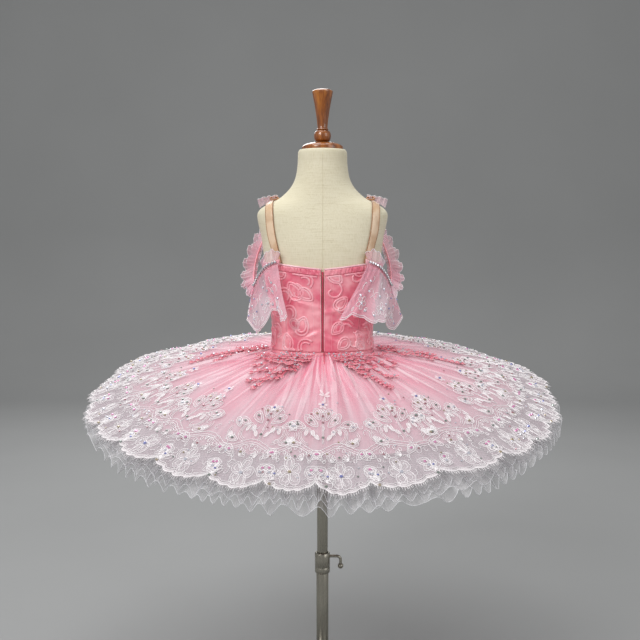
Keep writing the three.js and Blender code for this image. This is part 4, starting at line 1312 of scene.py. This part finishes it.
# name, CAD nodes, columns, rows, depth below the lace, share of its reach, gather depth, phase, area
tulleTable = [
    ("pinkUnderskirt", ["underskirt_pink"], 1100, 26, 4.2, 0.8, 0.7, 0.0, 0.36),
    ("pinkUnderskirtLower", [], 760, 20, 7.6, 0.79, 0.8, 1.9, 0.35),
]
gatherHighlightCount = 110


def buildPinkTulle():
    def pink(below, reach, depth, phase):
        def surface(u, v):
            angle = u * 2 * pi
            point = lacePoint(angle, v * reach)
            ply = np.sin(61 * angle + phase) + 0.6 * np.sin(103 * angle + 2 * phase)
            point[:, 2] += depth * ply * np.minimum(v * 8, 1) * (1 - 0.6 * v) - below + 1.2 * v
            return point
        return surface

    for name, nodes, columns, rows, below, reach, depth, phase, area in tulleTable:
        layer = sheetMesh(name, columns, rows, pink(below, reach, depth, phase), pinkTulle, ring=True)
        sew(layer, "pink_tulle", *nodes)
    # pale strips where one gather of the tulle lies over the next, lighter than the tulle: painted
    # highlight
    points, faces = [], []
    for number in range(gatherHighlightCount):
        turn = number * 2 * pi / gatherHighlightCount + 0.03 * sin(number * 2.3)
        s = np.linspace(0, 1, 18)
        share = 0.02 + (0.42 + 0.24 * sin(number * 1.9)) * s
        sway = 0.06 * sin(number * 3.7) * s ** 1.5 + 0.01 * np.sin(5 * s + number)
        wide = (0.012 + 0.034 * abs(sin(number * 1.1))) * np.sin(pi * np.clip(s, 0.04, 0.97)) ** 0.6
        left = lacePoint(turn + sway, share) + (0, 0, 0.5)
        right = lacePoint(turn + sway + wide, share) + (0, 0, 0.2)
        start = number * 36
        points += [left, right]
        faces += [(start + i, start + i + 1, start + 19 + i, start + 18 + i) for i in range(17)]
    made = makeObject("tulleGatherHighlights", np.vstack(points), faces, paintedGatherHighlight)
    sew(made, "pink_tulle")


# name, CAD node, piece below, seam height, reach past the rim, drop and more at the back, pleats, phase
netTable = [
    ("netUpper", "net_upper", "netMiddle", 600, 6, 5, 4, 127, 0.0),
    ("netMiddle", "net_middle", "netLower", 588, 12, 7.5, 9, 109, 1.1),
    ("netLower", "net_lower", "hipBasque", 575, 17, 10, 14, 97, 2.3),
]
netWork = {"rows": 15, "out": 3.0, "up": 8.5, "crease": 24, "hem": 0.4, "fold": 0.3}


def triangleWave(x):
    return 2 * np.abs(2 * (x % 1) - 1) - 1


# Box pleats with soft flats, their widths drifting round the rim.
def boxPleat(u, ruffles, phase):
    drift = 0.9 * np.sin(10 * pi * u + phase) + 0.45 * np.sin(26 * pi * u + 2 * phase)
    return np.clip(1.5 * triangleWave(u * ruffles + drift), -1, 1)


def buildNets():
    for name, node, below, seam, extra, under, underBack, ruffles, phase in netTable:
        def surface(u, v):
            share = 1 - (1 - v) ** 1.7
            angle = u * 2 * pi
            back = (0.5 + 0.5 * np.cos(angle)) ** 2
            swell = 0.68 + 0.2 * np.sin(9 * angle + phase) + 0.16 * np.sin(31 * angle + 3 * phase)
            pleat = boxPleat(u, ruffles, phase)
            flare = np.clip((share - 0.68) / 0.32, 0, 1) ** 1.2
            out = netWork["out"] * boxPleat(u + 0.3 / ruffles, ruffles, phase)
            rim = skirt["rim"] + extra + out * swell * flare
            height = skirt["height"] - skirt["tilt"] * np.cos(angle) - under - underBack * back
            point = layerPoint(angle, share, seam, rim, height)
            sag = skirt["bulge"] * 4 * share * (1 - share)
            rise = netWork["up"] * swell * (pleat - 0.55) + 1.5 * np.sin(31 * angle)
            point[:, 2] += flare * rise - sag
            return point

        net = sheetMesh(name, ruffles * 8, netWork["rows"], surface, whiteTulle, ring=True)
        sharpEdges(net, netWork["crease"])
        sew(net, "white_tulle", node)
        hem = surface(np.linspace(0, 1, ruffles * 8, endpoint=False), np.ones(ruffles * 8))
        edge = cordMesh(name + "Edge", [hem], netWork["hem"], hemThread, 3, closed=True)
        sew(edge, "white_tulle")
        fine = np.linspace(0, 1, ruffles * 60, endpoint=False)
        flat = np.abs(boxPleat(fine, ruffles, phase)) >= 1
        creases = fine[np.diff(flat, append=flat[0])][::2]
        lines = [surface(np.full(6, crease), np.linspace(0.72, 1, 6)) for crease in creases]
        sew(cordMesh(name + "Folds", lines, netWork["fold"], hemThread, 3), "white_tulle")


def buildBasque():
    def surface(u, v, away):
        return bodyPoint(560 + (waistHeight - 0.6 - 560) * v, u * 2 * pi, away)

    basque = wallMesh("hipBasque", 120, 12, surface, 0.8, 2.3, satin, ring=True)
    sew(basque, "rose_satin", "hip_basque")


# name, CAD node, root angle and share, then the tips of its fronds as angle and share
sprayTable = [
    ("sprayBackLeft", "spray_back_left", (-9, 0.03),
     [(-66, 0.08), (-58, 0.13), (-50, 0.18), (-42, 0.25), (-36, 0.33), (-30, 0.36), (-24, 0.22)]),
    ("sprayBackRight", "spray_back_right", (9, 0.03),
     [(64, 0.08), (55, 0.16), (46, 0.2), (38, 0.3), (31, 0.37), (25, 0.25)]),
    ("spraySideLeft", "spray_side_left", (-100, 0.02),
     [(-92, 0.46), (-98, 0.34), (-86, 0.3), (-104, 0.2), (-82, 0.16)]),
    ("spraySideRight", "spray_side_right", (100, 0.02),
     [(93, 0.5), (99, 0.36), (86, 0.32), (105, 0.22), (82, 0.18)]),
]


spray = {
    "leaf": 11.5, "leafWidth": 6.0, "endLeaf": (9, 3.6), "stem": 0.9, "rim": 0.55,
    "bead": 1.4, "stone": 2.3, "waistStone": 2.0, "waistBead": 1.6, "zipEnd": 1.5,
}


# Stones or beads on the skirt, all of one size and facing one way.
def scatter(name, places, facing, size, slot, material):
    count = len(places)
    sew(gemMesh(name, places, [facing] * count, [size] * count, material), slot)


def buildSprays():
    for name, node, (rootAngle, rootShare), tips in sprayTable:
        leaves, stems, beads, gems = [], [], [], []
        for branch, (tipAngle, tipShare) in enumerate(tips):
            steps = 6 + int(26 * tipShare)
            s = np.linspace(0, 1, steps)
            share = rootShare + (tipShare - rootShare) * s ** 1.15
            swing = rootAngle + (tipAngle - rootAngle) * s ** 0.8 + 1.5 * np.sin(6 * s + branch)
            stem = lacePoint(np.radians(swing), share)
            stem[:, 2] += 1.6
            stems.append(stem)
            for i in range(1, steps):
                ahead = stem[i] - stem[i - 1]
                ahead /= np.linalg.norm(ahead)
                across = np.cross((0, 0, 1), ahead)
                for side in (-1, 1):
                    size = spray["leaf"] - 4 * abs(s[i] - 0.4) + 1.5 * sin(3.7 * i + branch)
                    direction = ahead * 0.72 + across * side * 0.75 + (0, 0, 0.1)
                    leaves.append(leafOutline(stem[i], direction, size, spray["leafWidth"]))
                    beads += [stem[i] + direction * size * t + (0, 0, 1.0) for t in (0.3, 0.7)]
                if i % 3 == branch % 3:
                    gems.append(stem[i] + (0, 0, 2.0))
            leaves.append(leafOutline(stem[-1], ahead, *spray["endLeaf"]))
        sew(cordMesh(name, stems, spray["stem"], roseBeads, 5), "rose_beading", node)
        sew(fillMesh(name + "Leaves", leaves, roseLeaf), "rose_beading")
        rims = cordMesh(name + "LeafCords", leaves, spray["rim"], paleSatinAndPaintedHighlight, closed=True)
        sew(rims, "rose_beading")
        scatter(name + "Beads", beads, (0, -0.1, 1), spray["bead"], "rose_beading", roseBeads)
        scatter(name + "Stones", gems, (0, -0.3, 1), spray["stone"], "crystal", stones["clear"])
    # loose stones and sequins where the tulle leaves the waist
    angles = np.radians(np.linspace(-44, 44, 40))
    angles = angles[np.abs(angles) > 0.06]
    seats = lacePoint(angles, 0.018 + 0.012 * np.sin(angles * 57))
    seats[:, 2] += 1.6
    facing = (0, -1, 0.6)
    scatter("waistStones", seats[::2], facing, spray["waistStone"], "crystal", stones["clear"])
    scatter("waistBeads", seats[1::2], facing, spray["waistBead"], "crystal", paleSatinAndPaintedHighlight)
    # the zip's end, tucked in the fold below the waist
    share = np.linspace(0, 0.085, 12)
    tail = lacePoint(np.full(12, 0.02), share)
    tail[:, 2] += 1.4
    sew(cordMesh("zipEnd", [tail], spray["zipEnd"], zipTape, 6, taper=True), "zip_crimson")
    print("sprays sewn on")


def leafOutline(root, direction, length, width):
    direction = np.asarray(direction, float)
    direction = direction / np.linalg.norm(direction)
    across = np.cross((0, 0, 1), direction)
    across /= np.linalg.norm(across) + 1e-9
    shape = [(0, 0), (0.3, 0.42), (0.6, 0.42), (1, 0), (0.6, -0.42), (0.3, -0.42)]
    return [root + direction * length * a + across * width * b for a, b in shape]


# Camera, light and floor.

studio = {
    "distance": 1.557, "height": 0.8, "pitch": 4.87, "aside": -0.0044,
    "lens": 49.5, "sensor": 36, "air": 0.46,
}
# name, place in metres, side in metres, watts
lampTable = [
    ("keyLight", (-1.9, -2.3, 2.6), 1.4, 60), ("fillLight", (2.4, -1.9, 1.8), 1.8, 20),
    ("topLight", (-0.2, 0.2, 3.2), 2.0, 34), ("rimLight", (-0.5, 2.4, 2.2), 1.4, 20),
]
backdrop = {"half": 6000, "depth": 3800, "wall": 5200, "bend": 900}


def buildStudio():
    camera = bpy.data.objects.new("camera", bpy.data.cameras.new("camera"))
    bpy.context.scene.collection.objects.link(camera)
    camera.location = (studio["aside"], -studio["distance"], studio["height"])
    camera.rotation_euler = (radians(90 - studio["pitch"]), 0, 0)
    camera.data.lens = studio["lens"]
    camera.data.sensor_width = studio["sensor"]
    bpy.context.scene.camera = camera
    for name, place, size, power in lampTable:
        lamp = bpy.data.objects.new(name, bpy.data.lights.new(name, "AREA"))
        bpy.context.scene.collection.objects.link(lamp)
        lamp.data.size = size
        lamp.data.energy = power
        lamp.location = place
        x, y, z = place[0], place[1], place[2] - 0.6
        lamp.rotation_euler = (atan2(hypot(x, y), z), 0, atan2(y, x) + pi / 2)
    world = bpy.data.worlds.new("studioAir")
    bpy.context.scene.world = world
    world.use_nodes = True
    air = world.node_tree.nodes["Background"]
    air.inputs[0].default_value = color(238, 238, 238)
    air.inputs[1].default_value = studio["air"]
    half, bend = backdrop["half"], backdrop["bend"]
    start = backdrop["depth"] - bend
    profile = [(-half, 0), (0, 0), (start, 0)]
    for a in np.linspace(0.15, pi / 2, 12):
        profile.append((start + bend * sin(a), bend - bend * cos(a)))
    profile.append((backdrop["depth"], backdrop["wall"]))
    points = [(x, y, z) for y, z in profile for x in (-half, half)]
    faces = [(2 * i, 2 * i + 1, 2 * i + 3, 2 * i + 2) for i in range(len(profile) - 1)]
    makeObject("studioFloor", points, faces, studioMaterial())
    scene = bpy.context.scene
    scene.view_settings.view_transform = "Standard"
    scene.cycles.transparent_max_bounces = 24


buildStudio()
buildForm()
buildStand()
buildBodice()
buildStraps()
buildSleeves()
buildNets()
buildBasque()
buildPinkTulle()
buildLace()
buildSprays()
print("skirt layered")
